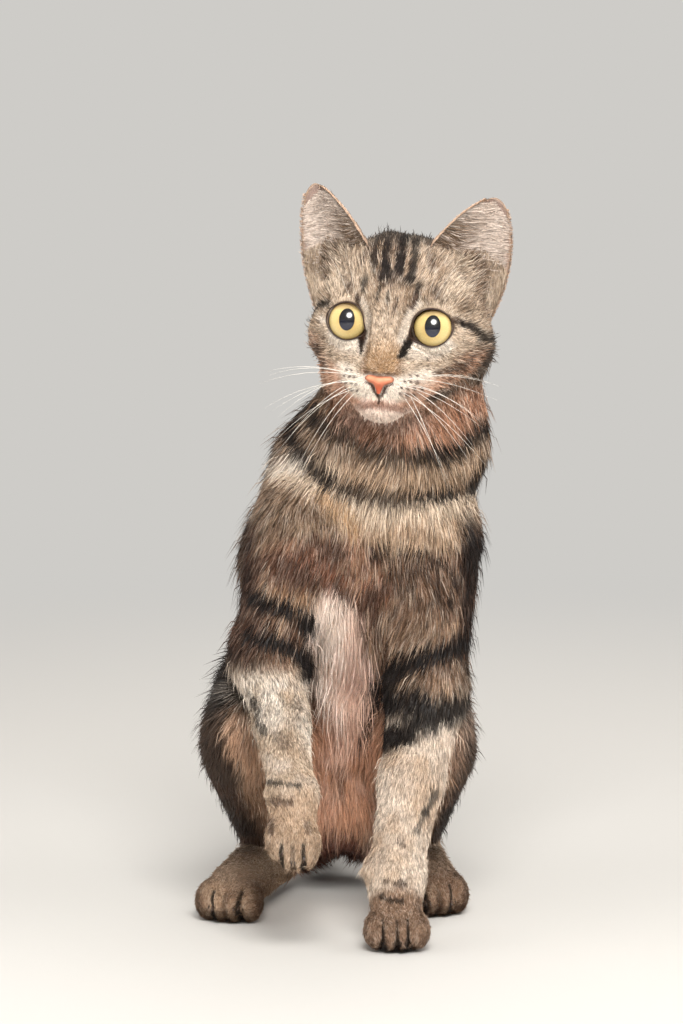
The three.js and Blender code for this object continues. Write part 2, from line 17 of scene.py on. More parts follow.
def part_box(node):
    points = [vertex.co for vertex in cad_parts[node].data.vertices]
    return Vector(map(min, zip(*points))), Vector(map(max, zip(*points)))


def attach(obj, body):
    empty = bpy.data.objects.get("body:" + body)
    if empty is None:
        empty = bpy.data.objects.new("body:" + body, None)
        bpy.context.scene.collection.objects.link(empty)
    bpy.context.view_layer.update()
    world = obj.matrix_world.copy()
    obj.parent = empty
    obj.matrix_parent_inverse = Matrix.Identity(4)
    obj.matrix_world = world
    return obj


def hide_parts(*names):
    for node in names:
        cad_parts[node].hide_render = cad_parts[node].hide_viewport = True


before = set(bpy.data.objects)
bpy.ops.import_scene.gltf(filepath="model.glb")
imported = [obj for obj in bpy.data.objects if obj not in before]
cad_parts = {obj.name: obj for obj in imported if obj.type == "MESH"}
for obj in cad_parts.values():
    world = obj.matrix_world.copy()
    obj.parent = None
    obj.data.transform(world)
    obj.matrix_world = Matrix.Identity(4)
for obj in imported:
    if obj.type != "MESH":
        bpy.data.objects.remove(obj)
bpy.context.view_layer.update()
rng = np.random.default_rng(7)

# ==== The body's driving dimensions, the same as the solids' ====

HEAD_PLACE = np.array([22.7, -32.0, 282.0])
HEAD_TURN = math.radians(-7.5)
HEAD_ROLL = math.radians(4.5)
EYE_APART = 39.0
SKULL_MIDDLE = (0, 12, -4)  # in the head's frame
EYE_R = 10.4

PELVIS, LOIN, RIBS = (-2, 76, 58), (2, 64, 112), (4, 34, 166)
WITHERS, NECK_BASE, NECK_TOP = (15, 20, 206), (27, 6, 228), (31, 2, 262)
SHOULDER_L, ELBOW_L, WRIST_L, TOES_L = (42, -2, 180), (40, -10, 110), (24.8, -54, 31), (25, -74, 9)
SHOULDER_R, ELBOW_R, WRIST_R, TOES_R = (-18, -6, 182), (-33, -18, 128), (-22, -82, 72), (-21.5, -94, 51.5)
HIP_R, KNEE_R, HOCK_R, HIND_TOES_R = (-26, 74, 70), (-45, -4, 92), (-33.5, 62, 19), (-52.5, -6, 8.5)
HIP_L, KNEE_L, HOCK_L, HIND_TOES_L = (22, 78, 70), (42, 2, 90), (33, 70, 19), (44, 8, 8.5)
TAIL = [(-6, 104, 34), (-12, 126, 18), (-17, 150, 12), (-14, 174, 11), (2, 193, 10), (24, 204, 9)]
TAIL_R = (15, 9)
LIMBS = dict(
    arm_r=(SHOULDER_R, ELBOW_R, WRIST_R, TOES_R),
    arm_l=(SHOULDER_L, ELBOW_L, WRIST_L, TOES_L),
    leg_r=(HIP_R, KNEE_R, HOCK_R, HIND_TOES_R),
    leg_l=(HIP_L, KNEE_L, HOCK_L, HIND_TOES_L),
)

# ==== Small vector helpers, all on arrays of points ====


def mix(a, b, t):
    return np.asarray(a, float) * (1 - t) + np.asarray(b, float) * t


def unit(v):
    v = np.asarray(v, float)
    return v / np.maximum(np.linalg.norm(v, axis=-1, keepdims=True), 1e-9)


def smooth(x, lo, hi):
    """0 below lo and 1 above hi, or the other way round where lo is over hi, with a soft step between."""
    t = np.clip((np.asarray(x, float) - lo) / (hi - lo), 0, 1)
    return t * t * (3 - 2 * t)


def turn_z(t):
    return np.array([[math.cos(t), -math.sin(t), 0], [math.sin(t), math.cos(t), 0], [0, 0, 1]])


def turn_y(t):
    return np.array([[math.cos(t), 0, math.sin(t)], [0, 1, 0], [-math.sin(t), 0, math.cos(t)]])


HEAD_AXES = turn_z(HEAD_TURN) @ turn_y(HEAD_ROLL)  # its columns are the head's own axes


def to_head(p):
    return (p - HEAD_PLACE) @ HEAD_AXES


def from_head(p):
    return np.asarray(p, float) @ HEAD_AXES.T + HEAD_PLACE


def mirror(p, middle=0.0):
    """The points with x taken as the distance from the middle."""
    return np.column_stack((np.abs(p[:, 0] - middle), p[:, 1:]))


def lattice(i):
    """A repeatable number from 0 to 1 for each row of whole numbers."""
    i = i.astype(np.uint64)
    h = i[:, 0] * np.uint64(73856093) ^ i[:, 1] * np.uint64(19349663) ^ i[:, 2] * np.uint64(83492791)
    h = (h ^ (h >> np.uint64(13))) * np.uint64(1274126177) & np.uint64(0xFFFFFFFF)
    return ((h ^ (h >> np.uint64(16))) & np.uint64(0xFFFFFF)).astype(float) / 0xFFFFFF


def noise(p, size, seed=0):
    """Smooth noise from -1 to 1 whose lumps are about `size` across."""
    q = p / size + 1000 + 17.3 * seed
    cell = np.floor(q)
    f = q - cell
    f = f * f * (3 - 2 * f)
    total = np.zeros(len(p))
    for corner in np.ndindex(2, 2, 2):
        weight = np.prod(np.where(np.array(corner), f, 1 - f), axis=1)
        total += weight * lattice(cell + corner)
    return total * 2 - 1


# ==== Fields: functions of an array of points that are negative inside a shape ====


def onto(p, a, b):
    """How far along the way from a to b each point is, from 0 to 1, and what is left from there to the point."""
    d = b - a
    t = np.clip((p - a) @ d / (d @ d), 0, 1)
    return t, p - a - t[:, None] * d


def bone(a, b, ra, rb, wide=1.0):
    """A tapered bone from a to b, whose section is an ellipse `wide` times as wide along x as it is deep."""
    a, b = np.array(a, float), np.array(b, float)

    def field(p):
        t, q = onto(p, a, b)
        q[:, 0] /= wide
        return np.sqrt((q * q).sum(1)) - (ra + (rb - ra) * t)

    reach = max(ra, rb) * max(1, wide)
    field.box = np.minimum(a, b) - reach, np.maximum(a, b) + reach
    return field


def blob(c, r):
    """An ellipsoid with its centre at c and the radii r."""
    c, r = np.array(c, float), np.array(r, float)

    def field(p):
        q = (p - c) / r
        k0 = np.sqrt((q * q).sum(1))
        k1 = np.sqrt(((q / r) ** 2).sum(1)) + 1e-9
        return k0 * (k0 - 1) / k1

    field.box = c - r, c + r
    return field


def paired(field, middle=0.0):
    """The same field on both sides of the head."""

    def both(p):
        return field(mirror(p, middle))

    return both


def smooth_min(a, b, k):
    h = np.maximum(k - np.abs(a - b), 0) / k
    return np.minimum(a, b) - h * h * k / 4


def smooth_cut(a, b, k):
    """The field a with the shape b taken out of it, its edge rounded over a width of k."""
    return -smooth_min(-a, b, k)


def blend(parts, far=30.0):
    """Joins [field, k, depth] rows, each blended into those before it over the width k and shrunk by its depth."""

    def field(p):
        d = np.full(len(p), 1e3)
        for part, k, depth in parts:
            if hasattr(part, "box"):
                near = ((p > part.box[0] - far) & (p < part.box[1] + far)).all(1)
                if near.any():
                    d[near] = smooth_min(d[near], part(p[near]) + depth, k)
            else:
                d = smooth_min(d, part(p) + depth, k)
        return d

    return field


def surface(field, lo, hi, cell):
    """The surface where a field is zero, as points and outward triangles."""
    lo, hi = np.array(lo, float), np.array(hi, float)
    n = (np.ceil((hi - lo) / cell / 4) * 4 + 1).astype(int)
    axes = [np.arange(k) * cell + l for k, l in zip(n, lo)]
    coarse = np.stack(np.meshgrid(*[a[::4] for a in axes], indexing="ij"), -1).reshape(-1, 3)
    rough = field(coarse).reshape([len(a[::4]) for a in axes])
    nearest = [np.minimum((np.arange(k) + 2) // 4, (k - 1) // 4) for k in n]
    values = rough[np.ix_(*nearest)].astype(np.float32)
    near = np.abs(values) < 8 * cell
    i, j, k = np.nonzero(near)
    values[near] = field(np.column_stack((axes[0][i], axes[1][j], axes[2][k])))
    grid = openvdb.FloatGrid(1e3)
    grid.copyFromArray(np.clip(values, -50, 50))
    points, quads = grid.convertToQuads(0.0)
    points = points.astype(float) * cell + lo
    quads = quads.astype(int)
    tris = np.concatenate((quads[:, [0, 1, 2]], quads[:, [0, 2, 3]]))
    a, b, c = points[tris[:, 0]], points[tris[:, 1]], points[tris[:, 2]]
    if (np.cross(b - a, c - a) * (a - lo)).sum() < 0:
        tris = tris[:, ::-1]
    return points, tris


def gradient(field, p, step=0.15):
    f0 = field(p)
    return f0, np.stack([field(p + step * e) - f0 for e in np.eye(3)], -1) / step


def settle(field, p, rounds=3, most=0.8):
    """Moves points onto the surface of a field."""
    for _ in range(rounds):
        f, g = gradient(field, p)
        step = f[:, None] * g / np.maximum((g * g).sum(1), 0.3)[:, None]
        p = p - step * np.minimum(1, most / np.maximum(np.linalg.norm(step, axis=1), 1e-9))[:, None]
    return p


def refine(points, tris, wanted):
    """Splits the wanted triangles in four, and their neighbours so that no gap opens."""
    edges = np.sort(tris[:, [0, 1, 1, 2, 2, 0]].reshape(-1, 2), axis=1)
    keys, where = np.unique(edges[:, 0] * len(points) + edges[:, 1], return_inverse=True)
    where = where.reshape(-1, 3)
    split = np.zeros(len(keys), bool)
    split[where[wanted]] = True
    number = np.cumsum(split) - 1 + len(points)
    ends = np.column_stack((keys // len(points), keys % len(points)))[split]
    points = np.vstack((points, points[ends].mean(1)))
    cut = split[where]
    middle = number[where]
    made = [tris[~cut.any(1)]]
    for pattern in np.ndindex(2, 2, 2):
        rows = (cut == np.array(pattern, bool)).all(1)
        if sum(pattern) == 0 or not rows.any():
            continue
        (a, b, c), (p, q, r) = tris[rows].T, middle[rows].T
        if sum(pattern) == 3:
            made += [np.column_stack(t) for t in ((a, p, r), (p, b, q), (r, q, c), (p, q, r))]
        else:
            shift = pattern.index(1) if sum(pattern) == 1 else (pattern.index(0) + 1) % 3
            a, b, c = [(a, b, c)[(k + shift) % 3] for k in range(3)]
            p, q, r = [(p, q, r)[(k + shift) % 3] for k in range(3)]
            if sum(pattern) == 1:
                made += [np.column_stack(t) for t in ((a, p, c), (p, b, c))]
            else:
                made += [np.column_stack(t) for t in ((a, p, c), (p, q, c), (p, b, q))]
    return points, np.vstack(made)


def corner_normals(points, tris):
    """One smooth normal for each point."""
    a, b, c = points[tris[:, 0]], points[tris[:, 1]], points[tris[:, 2]]
    face = np.cross(b - a, c - a)
    normals = np.zeros_like(points)
    for k in range(3):
        np.add.at(normals, tris[:, k], face)
    return unit(normals)


def tube_tris(rows, sides, ring=False):
    """The triangles of a tube of rows of points, with `sides` points to a row. A ring meets its own first row."""
    k, t = [g.ravel() for g in np.meshgrid(np.arange(rows - (not ring)), np.arange(sides), indexing="ij")]
    a, b = k * sides + t, k * sides + (t + 1) % sides
    c, d = [(i + sides) % (rows * sides) for i in (b, a)]
    return np.concatenate((np.column_stack((a, b, c)), np.column_stack((a, c, d))))


# ==== The flesh: each row is [field, blend width, depth of coat taken off] ====

EYE = np.array([EYE_APART / 2, 0.0, 0.0])  # the middle of the left eyeball, in the head's frame
OPENING = 8.75  # from the middle of an eye to the edge of its lids
INNER_CORNER = (math.radians(209), 1.9, 18)  # direction from the eye's middle, extra reach, sharpness
OUTER_CORNER = (math.radians(12), 1.0, 6)

head_parts = [
    [blob((2.2, 24, 10), (37.5, 38, 32)), 1, 2.4],  # skull
    [paired(blob((24.5, 22, -6), (19.5, 26, 19.5)), 2.8), 10, 3.0],  # cheeks
    [blob((-1, 10, -24), (32, 28, 20)), 8, 2.6],  # jaw
    [blob((0, -8, -26), (19, 18, 14)), 10, 1.3],  # muzzle
    [bone((0, -6, 1), (0, -21.5, -15), 9.5, 7.2), 7, 0.9],  # bridge of the nose
    [paired(blob((8, -18, -25.5), (10.5, 11.5, 8.8))), 5, 1.1],  # whisker pads
    [blob((0, -14, -36), (12, 11, 8)), 5, 1.2],  # chin
    [paired(bone((9, -5, 10), (29, 4, 11), 6, 6)), 6, 1.4],  # brow
    [paired(blob((EYE_APART / 2, 0.5, 0), (12.3, 11.8, 12))), 3, 0.55],  # lids
    [paired(blob((27, 27, 26), (11, 9, 13))), 9, 2.4],  # roots of the ears
]
head_flesh = blend(head_parts)
ear_bowl = blob((32.5, 14.5, 27), (8.5, 12, 11.5))  # the hollow in front of the left ear


def opening_at(angle, right):
    """How far the lids' edge is from an eye's middle, in a direction seen from the front as if on the left."""
    reach = OPENING - 1.1 * right * np.exp(3 * (np.cos(angle - math.pi) - 1))
    for at, extra, sharp in (INNER_CORNER, OUTER_CORNER):
        reach += extra * np.exp(sharp * (np.cos(angle - at) - 1))
    return reach * (1 - 0.03 * np.abs(np.sin(angle)))


def lid_edge(q):
    """Distance past the edge of the lids, for points of the head's frame."""
    d = mirror(q) - EYE
    return np.hypot(d[:, 0], d[:, 2]) - opening_at(np.arctan2(d[:, 2], d[:, 0]), q[:, 0] < 0)


MOUTH = [(0, -32, -30), (0, -30, -34), (4.5, -28, -36), (9.5, -24, -36.4), (14, -17, -35.4), (18, -9, -33)]
NOSTRIL = [(2.3, -33, -30.2), (2.9, -32, -28.2), (4.4, -30.8, -27), (6.4, -27.6, -26.4)]
TEAR = [(9.6, -7, -4.6), (8.2, -11.5, -9.5)]


def path(points, radius):
    """Bones along the points, whose radius goes from the first to the last value given."""
    n = len(points) - 1
    r = np.linspace(radius[0], radius[1], n + 1)
    return [bone(points[i], points[i + 1], r[i], r[i + 1]) for i in range(n)]


def union(fields):
    def field(p):
        d = fields[0](p)
        for f in fields[1:]:
            d = np.minimum(d, f(p))
        return d

    return field


mouth_line = union(path(MOUTH, (0.45, 0.4)))
tear_line = union(path(TEAR, (0.8, 0.5)))


def head_skin(p):
    """The head's skin in its own frame, with the openings of the lids, the tear ducts and the mouth."""
    d = head_flesh(p)
    near = (p[:, 2] > 8) & (np.abs(p[:, 0]) > 16)
    d[near] = smooth_cut(d[near], ear_bowl(mirror(p[near])), 4)
    near = (np.abs(d) < 16) & (p[:, 1] < 8)
    q = mirror(p[near])
    e = d[near]
    ball = np.linalg.norm(q - EYE, axis=1)
    hole = np.maximum(lid_edge(p[near]), (EYE_R - 1.3) - ball)
    hole = np.where(q[:, 1] < 0, hole, np.maximum(hole, q[:, 1]))
    e = smooth_cut(e, hole, 0.9)
    e = smooth_cut(e, tear_line(q), 1.6)
    e = smooth_cut(e, mouth_line(q), 1.0)
    d[near] = e
    return d


def head(p):
    return head_skin(to_head(p))


head.box = from_head([0, 10, -2]) - 66, from_head([0, 10, -2]) + 66


def toe_places(end, across, reach, share):
    """The middles of the four toes of a paw, `across` apart. They point along `reach`, the outer two by their
    shares."""
    places = {-1.5: share[0], -0.5: 1, 0.5: 1, 1.5: share[1]}
    return [np.add(end, np.multiply(across, i)) + np.multiply(reach, s) for i, s in places.items()]


def toes(end, across, reach, share, r):
    hangs = abs(reach[2]) > abs(reach[1])
    radii = (r * 0.82, r * 1.1, r * 1.35) if hangs else (r * 0.8, r * 1.25, r)
    each = [blob(c, radii) for c in toe_places(end, across, reach, share)]

    def field(p):
        d = each[0](p)
        for toe in each[1:]:
            d = smooth_min(d, toe(p), 1.3)
        return d

    field.box = np.min([t.box[0] for t in each], 0), np.max([t.box[1] for t in each], 0)
    return [[field, 6, 0.7]]


# Each paw's toes: the middle of their ends, the step from one toe to the next, their radius, where the gaps between
# them are, in steps, and how deep each one is
PAWS = [
    (np.add(TOES_L, (0, -6, 0)), np.array([5.7, 0, 0]), 8.0, (-1.12, 0, 0.82), (1, 0.5, 1)),
    (np.add(TOES_R, (0, 0, -3)), np.array([4.6, 0, 0]), 7.0, (-1.1, 0, 1.02), (0.75, 0.3, 0.65)),
    (np.add(HIND_TOES_R, (0, -6, 0)), np.array([6.3, -2, 0]), 8.4, (-0.95, 0, 1), (1, 0.25, 1)),
    (np.add(HIND_TOES_L, (0, -6, 0)), np.array([6.3, 2, 0]), 8.4, (-1, 0, 0.95), (1, 0.25, 1)),
]


def toe_gaps(p):
    """The distance to the nearest gap between two toes, and how near the front of a paw, from 0 to 1."""
    best, zone = np.full(len(p), 9.0), np.zeros(len(p))
    for end, step, r, at, deep in PAWS:
        near = np.nonzero(((p - end) ** 2).sum(1) < (2.2 * r) ** 2)[0]
        q = p[near] - end
        place = q @ step / (step @ step)
        off = np.abs(place[:, None] - np.array(at)) * np.linalg.norm(step)
        gap = off.min(1)
        front = smooth(np.linalg.norm(q, axis=1), 1.9 * r, 1.45 * r)
        front *= smooth(q[:, 1], 7, 2) * smooth(q[:, 2], r, 0.7 * r)
        best[near] = np.where(front > 0, gap, best[near])
        zone[near] = np.maximum(zone[near], front * np.array(deep)[off.argmin(1)])
    return best, zone


def foreleg(shoulder, elbow, wrist, toe, reach, share, spread, stout):
    middle = mix(elbow, wrist, 0.5)
    return [
        [bone(shoulder, elbow, 27, 20, 0.85), 18, 4],
        [bone(elbow, middle, 18, 14 * stout), 10, 2.6],
        [bone(middle, wrist, 14 * stout, 12 * stout), 6, 1.9],
        [bone(wrist, mix(wrist, toe, 0.8), 12 * stout, 9.6 * stout, 1.12), 5, 1.1],
        *toes(toe, [spread, 0, 0], reach, share, 7.6 * stout),
    ]


def hindleg(hip, knee, hock, toe):
    out = math.copysign(1, knee[0] - hip[0])
    ball = mix(hock, toe, 0.84)
    return [
        [bone(hip, knee, 38, 25, 0.78), 14, 4.6],
        [blob((out * 42, 27, 100), (18, 32, 28)), 10, 4.4],
        [bone((knee[0] + out * 2, knee[1] + 8, knee[2] - 12), hock, 22, 14, 0.9), 8, 3.4],
        [bone(hock, (ball[0], ball[1], ball[2] + 4), 13.5, 12.5, 1.15), 5, 1.6],
        [blob((toe[0], toe[1] + 1, toe[2] + 4.5), (13, 9, 8.5)), 6, 1.2],
        *toes(toe, [6.3, out * 2, 0], [out * 1.5, -5, 0], (0.4, 0.4), 8.4),
    ]


trunk_parts = [
    [bone(PELVIS, LOIN, 42, 46, 1.02), 1, 4.8],
    [bone(LOIN, RIBS, 46, 48, 1), 20, 4.8],
    [bone(RIBS, WITHERS, 48, 44, 1.03), 14, 4.8],
    [blob((-4, 92, 34), (34, 26, 34)), 16, 4.5],
]
neck_parts = [
    [bone(WITHERS, NECK_BASE, 42, 35, 1.11), 14, 4.6],
    [bone(NECK_BASE, NECK_TOP, 35, 31, 1.18), 12, 4.2],
]
tail_parts = [[part, 3 if i else 8, 3.6] for i, part in enumerate(path(TAIL, TAIL_R))]
arm_r = foreleg(*LIMBS["arm_r"], [0, 1, -2.4], (-0.9, 0.3), 4.3, 0.9)
arm_l = foreleg(*LIMBS["arm_l"], [0, -5, 0], (0.4, 0.4), 5.7, 1.06)
leg_r = hindleg(*LIMBS["leg_r"])
leg_l = hindleg(*LIMBS["leg_l"])
fore_skin = blend([*trunk_parts, *neck_parts, *arm_r, *arm_l, [head, 9, 0]])
hind_skin = blend([*trunk_parts, *neck_parts, *leg_r, *leg_l, *tail_parts])
hollow = union([blob((-1, 40, 4), (20.5, 41, 28)), blob((-1, 66, 0), (19, 45, 22))])  # under the belly
SOLE = 0.25  # how far the skin stays above the floor


def skin_field(p):
    d = smooth_min(fore_skin(p), hind_skin(p), 2)
    near = (p[:, 2] < 44) & (np.abs(p[:, 0] + 1) < 30) & (np.abs(p[:, 1] - 52) < 66)
    d[near] = smooth_cut(d[near], hollow(p[near]), 6)
    near = (np.abs(d) < 12) & (p[:, 2] < 66) & (p[:, 1] < 12)
    gap, zone = toe_gaps(p[near])
    hole = np.maximum(gap - 0.3, -2.3 * zone - d[near]) + 6 * (zone < 0.05)
    d[near] = smooth_cut(d[near], hole, 1.5)
    return np.maximum(d, SOLE - p[:, 2])


# ==== The skin ====

CELL = 2.3
points, tris = surface(skin_field, (-76, -106, -4), (86, 218, 330), CELL)
points = settle(skin_field, points, 2)


def foot_zone(p):
    return (toe_gaps(p)[1] > 0) & (p[:, 1] < 12)


def face_zone(q, reach):
    """Whether points of the head's frame are near the eyes, nose or mouth."""
    m = mirror(q)
    eye = (np.abs(lid_edge(q)) < reach) & (m[:, 1] < 6) & (m[:, 0] < 34)
    line = np.minimum(mouth_line(m), tear_line(m)) < reach
    return eye | line


q = to_head(points[tris].mean(1))
on_face = (np.linalg.norm(q - SKULL_MIDDLE, axis=1) < 47) & (q[:, 1] < 14)
points, tris = refine(points, tris, on_face | foot_zone(points[tris].mean(1)))
points = settle(skin_field, points, 2)
for reach in (4.5, 2.2):
    points, tris = refine(points, tris, face_zone(to_head(points[tris].mean(1)), reach))
    points = settle(skin_field, points, 2, 0.5)

# Each ear's inner and outer edges, as foot, middle and end, given for the left half of the head
EAR_EDGES = {
    1: ([(15, 9, 38), (27, 9, 55), (38.5, 14.5, 60.5)], [(41, 34, 2), (55, 30, 31), (47, 17.5, 57)]),
    -1: ([(15, 8.5, 36), (27.5, 9.5, 54), (39.5, 14.5, 61)], [(39, 34, 2), (51.5, 30, 31), (46.2, 17.5, 57)]),
}
EAR = dict(
    crest=np.array([0.2, 0, 2.4]),
    face=np.array([0.45, -0.88, 0.1]),
    cup=13,
    thick=3.0,
    rim=1.3,
)


def curve(points3, t):
    a, b, c = np.array(points3, float)
    t = np.asarray(t, float)[..., None]
    return a * (1 - t) ** 2 + b * 2 * t * (1 - t) + c * t * t


def ear_point(hand, s, t, side):
    """A point of an ear, as if on the left of the head: s runs from its inner to its outer edge, t up to its tip."""
    s, t = np.broadcast_arrays(np.asarray(s, float), np.asarray(t, float))
    inner, outer = EAR_EDGES[hand]
    across = mix(curve(inner, t), curve(outer, t), s[..., None])
    bow = 4 * s * (1 - s)
    thick = EAR["rim"] + (EAR["thick"] - EAR["rim"]) * bow * (1 - t)
    depth = EAR["cup"] * np.maximum(0, 1 - t) ** 0.8 * bow - side * thick / 2
    return across - EAR["face"] * depth[..., None] + EAR["crest"] * (bow * np.maximum(0, t) ** 2)[..., None]


def ear_shell(hand, across=30, up=40):
    """An ear as a closed shell."""
    s = np.concatenate((np.linspace(0, 1, across + 1), np.linspace(1, 0, across + 1)))
    side = np.concatenate((np.ones(across + 1), -np.ones(across + 1)))
    t = np.linspace(-0.2, 1, up + 1)
    verts = ear_point(hand, s[None, :], t[:, None], side[None, :]).reshape(-1, 3)
    n = len(s)
    faces = [tube_tris(up + 1, n)]
    for row, flip in ((0, True), (up * n, False)):
        i = np.arange(across)
        a, b, c, d = row + i, row + i + 1, row + n - 2 - i, row + n - 1 - i
        pair = [np.column_stack((a, b, c)), np.column_stack((a, c, d))]
        faces += [f[:, ::-1] for f in pair] if flip else pair
    return verts, np.vstack(faces)


# ==== Where each part of the coat is, how long it is and which way it lies ====


def flow_along(a, b):
    d = unit(np.subtract(b, a))
    return lambda p: np.broadcast_to(d, p.shape)


NOSE_TIP = np.array([0, -31, -21])


def flow_head(p):
    """Away from the tip of the nose, and round the eyes."""
    q = to_head(p)
    d = unit(q - NOSE_TIP)
    m = mirror(q)
    side = np.where(q[:, 0] < 0, -1, 1)[:, None]
    from_eye = (m - EYE) * [1, 0.2, 1]
    from_eye[:, 0] *= side[:, 0]
    round_eye = smooth(lid_edge(q), 9, 1) * smooth(q[:, 1], 12, 0)
    d = d * (1 - round_eye[:, None]) + unit(from_eye) * round_eye[:, None]
    return unit(d) @ HEAD_AXES.T


def flow_chest(p):
    """Down, and fanned out from the middle of the throat."""
    fan = np.clip((p[:, 0] - 20) / 60, -0.8, 0.8) * smooth(p[:, 2], 120, 190)
    return unit(np.column_stack((fan, -0.15 + 0 * fan, -np.ones(len(p)))))


REGIONS = ["trunk", "neck", "head", "arm_r", "arm_l", "leg_r", "leg_l", "tail"]
TRUNK, NECK, HEAD = range(3)  # their numbers
coat_parts = []  # [field, flow, length of hair, angle it stands at, density, region]


def add_coat(region, parts, *coats):
    """The coat of a region's parts in turn, each as its flow, length of hair, angle and density."""
    coat_parts.extend((row[0], *coat, region) for row, coat in zip(parts, coats))


down_neck, down_back = flow_along(NECK_TOP, WITHERS), flow_along(RIBS, LOIN)
over_rump = flow_along((0, 70, 90), (0, 110, 20))
add_coat("trunk", trunk_parts, (down_back, 13.5, 27, 2.4), (down_back, 14, 27, 2.4),
         (flow_along(WITHERS, RIBS), 14, 27, 2.4), (over_rump, 12, 27, 2.4))
add_coat("neck", neck_parts, (down_neck, 12, 27, 2.8), (down_neck, 10.5, 26, 3.2))
add_coat("head", [[head]], (flow_head, 6, 20, 4))
for name, parts in (("arm_r", arm_r), ("arm_l", arm_l)):
    shoulder, elbow, wrist, toe = LIMBS[name]
    forearm, paw = flow_along(elbow, wrist), flow_along(wrist, toe)
    add_coat(name, parts, (flow_along(shoulder, elbow), 11.5, 28, 2.8), (forearm, 7, 25, 4), (forearm, 4.4, 23, 5.5),
             (paw, 3, 23, 7), (paw, 2.4, 24, 9))
for name, parts in (("leg_r", leg_r), ("leg_l", leg_l)):
    _, knee, hock, toe = LIMBS[name]
    thigh, foot = flow_along((0, -20, 120), (0, 25, 40)), flow_along(hock, toe)
    add_coat(name, parts, (thigh, 12, 26, 2.4), (thigh, 13, 27, 2.4), (flow_along(knee, hock), 8, 25, 3),
             (foot, 3.6, 22, 6), (foot, 2.5, 24, 9), (foot, 2.5, 24, 9))
add_coat("tail", tail_parts, *[(flow_along(a, b), 12, 24, 2.6) for a, b in zip(TAIL, TAIL[1:])])


def lay_of_coat(p):
    """The lie, length, angle and density of the coat at points of the skin, and each region's share of it."""
    lie, rest = np.zeros_like(p), np.zeros((len(p), 3))
    share = np.zeros((len(p), len(REGIONS)))
    for field, flow, *coat, region in coat_parts:
        near = ((p > field.box[0] - 12) & (p < field.box[1] + 12)).all(1)
        if not near.any():
            continue
        w = np.exp(-np.clip(field(p[near]) + 4, 0, 60) / 3.5)
        lie[near] += flow(p[near]) * w[:, None]
        rest[near] += np.array(coat) * w[:, None]
        share[near, REGIONS.index(region)] += w
    total = share.sum(1, keepdims=True) + 1e-12
    return lie, *(rest / total).T, share / total


# ==== Colours, as sRGB values of the hair, and the markings ====


def linear(rgb):
    c = np.asarray(rgb, float) / 255
    return np.where(c <= 0.04045, c / 12.92, ((c + 0.055) / 1.055) ** 2.4)


SHADES = dict(
    white=linear((252, 240, 226)),
    cream=linear((220, 198, 174)),
    beige=linear((184, 154, 126)),
    grey=linear((150, 124, 100)),
    brown=linear((126, 92, 70)),
    dark=linear((80, 54, 41)),
    black=linear((26, 19, 16)),
    tan=linear((190, 152, 112)),
    red=linear((142, 90, 66)),
    pink=linear((240, 210, 196)),
    belly=linear((206, 152, 120)),
    # a painted shade for the hollow under the belly
    shaded=linear((104, 48, 30)),
)


def line_distance(p, line):
    """The distance from points of a plane to a bent line in it."""
    line = np.array(line, float)
    best = np.full(len(p), 1e3)
    for a, b in zip(line[:-1], line[1:]):
        best = np.minimum(best, np.linalg.norm(onto(p, a, b)[1], axis=1))
    return best


def near(plane, line, wide, core, rough=0):
    """1 nearer than `core` to a line of a plane and 0 past `wide` from it, with an edge as rough as is given."""
    return smooth(line_distance(plane, line) + rough, wide, core)


def paint(colour, *layers):
    """Lays shades over a colour in turn, each given as its name and its amount from 0 to 1."""
    for shade, amount in layers:
        colour = colour + (SHADES[shade] - colour) * np.clip(amount, 0, 1)[:, None]
    return colour


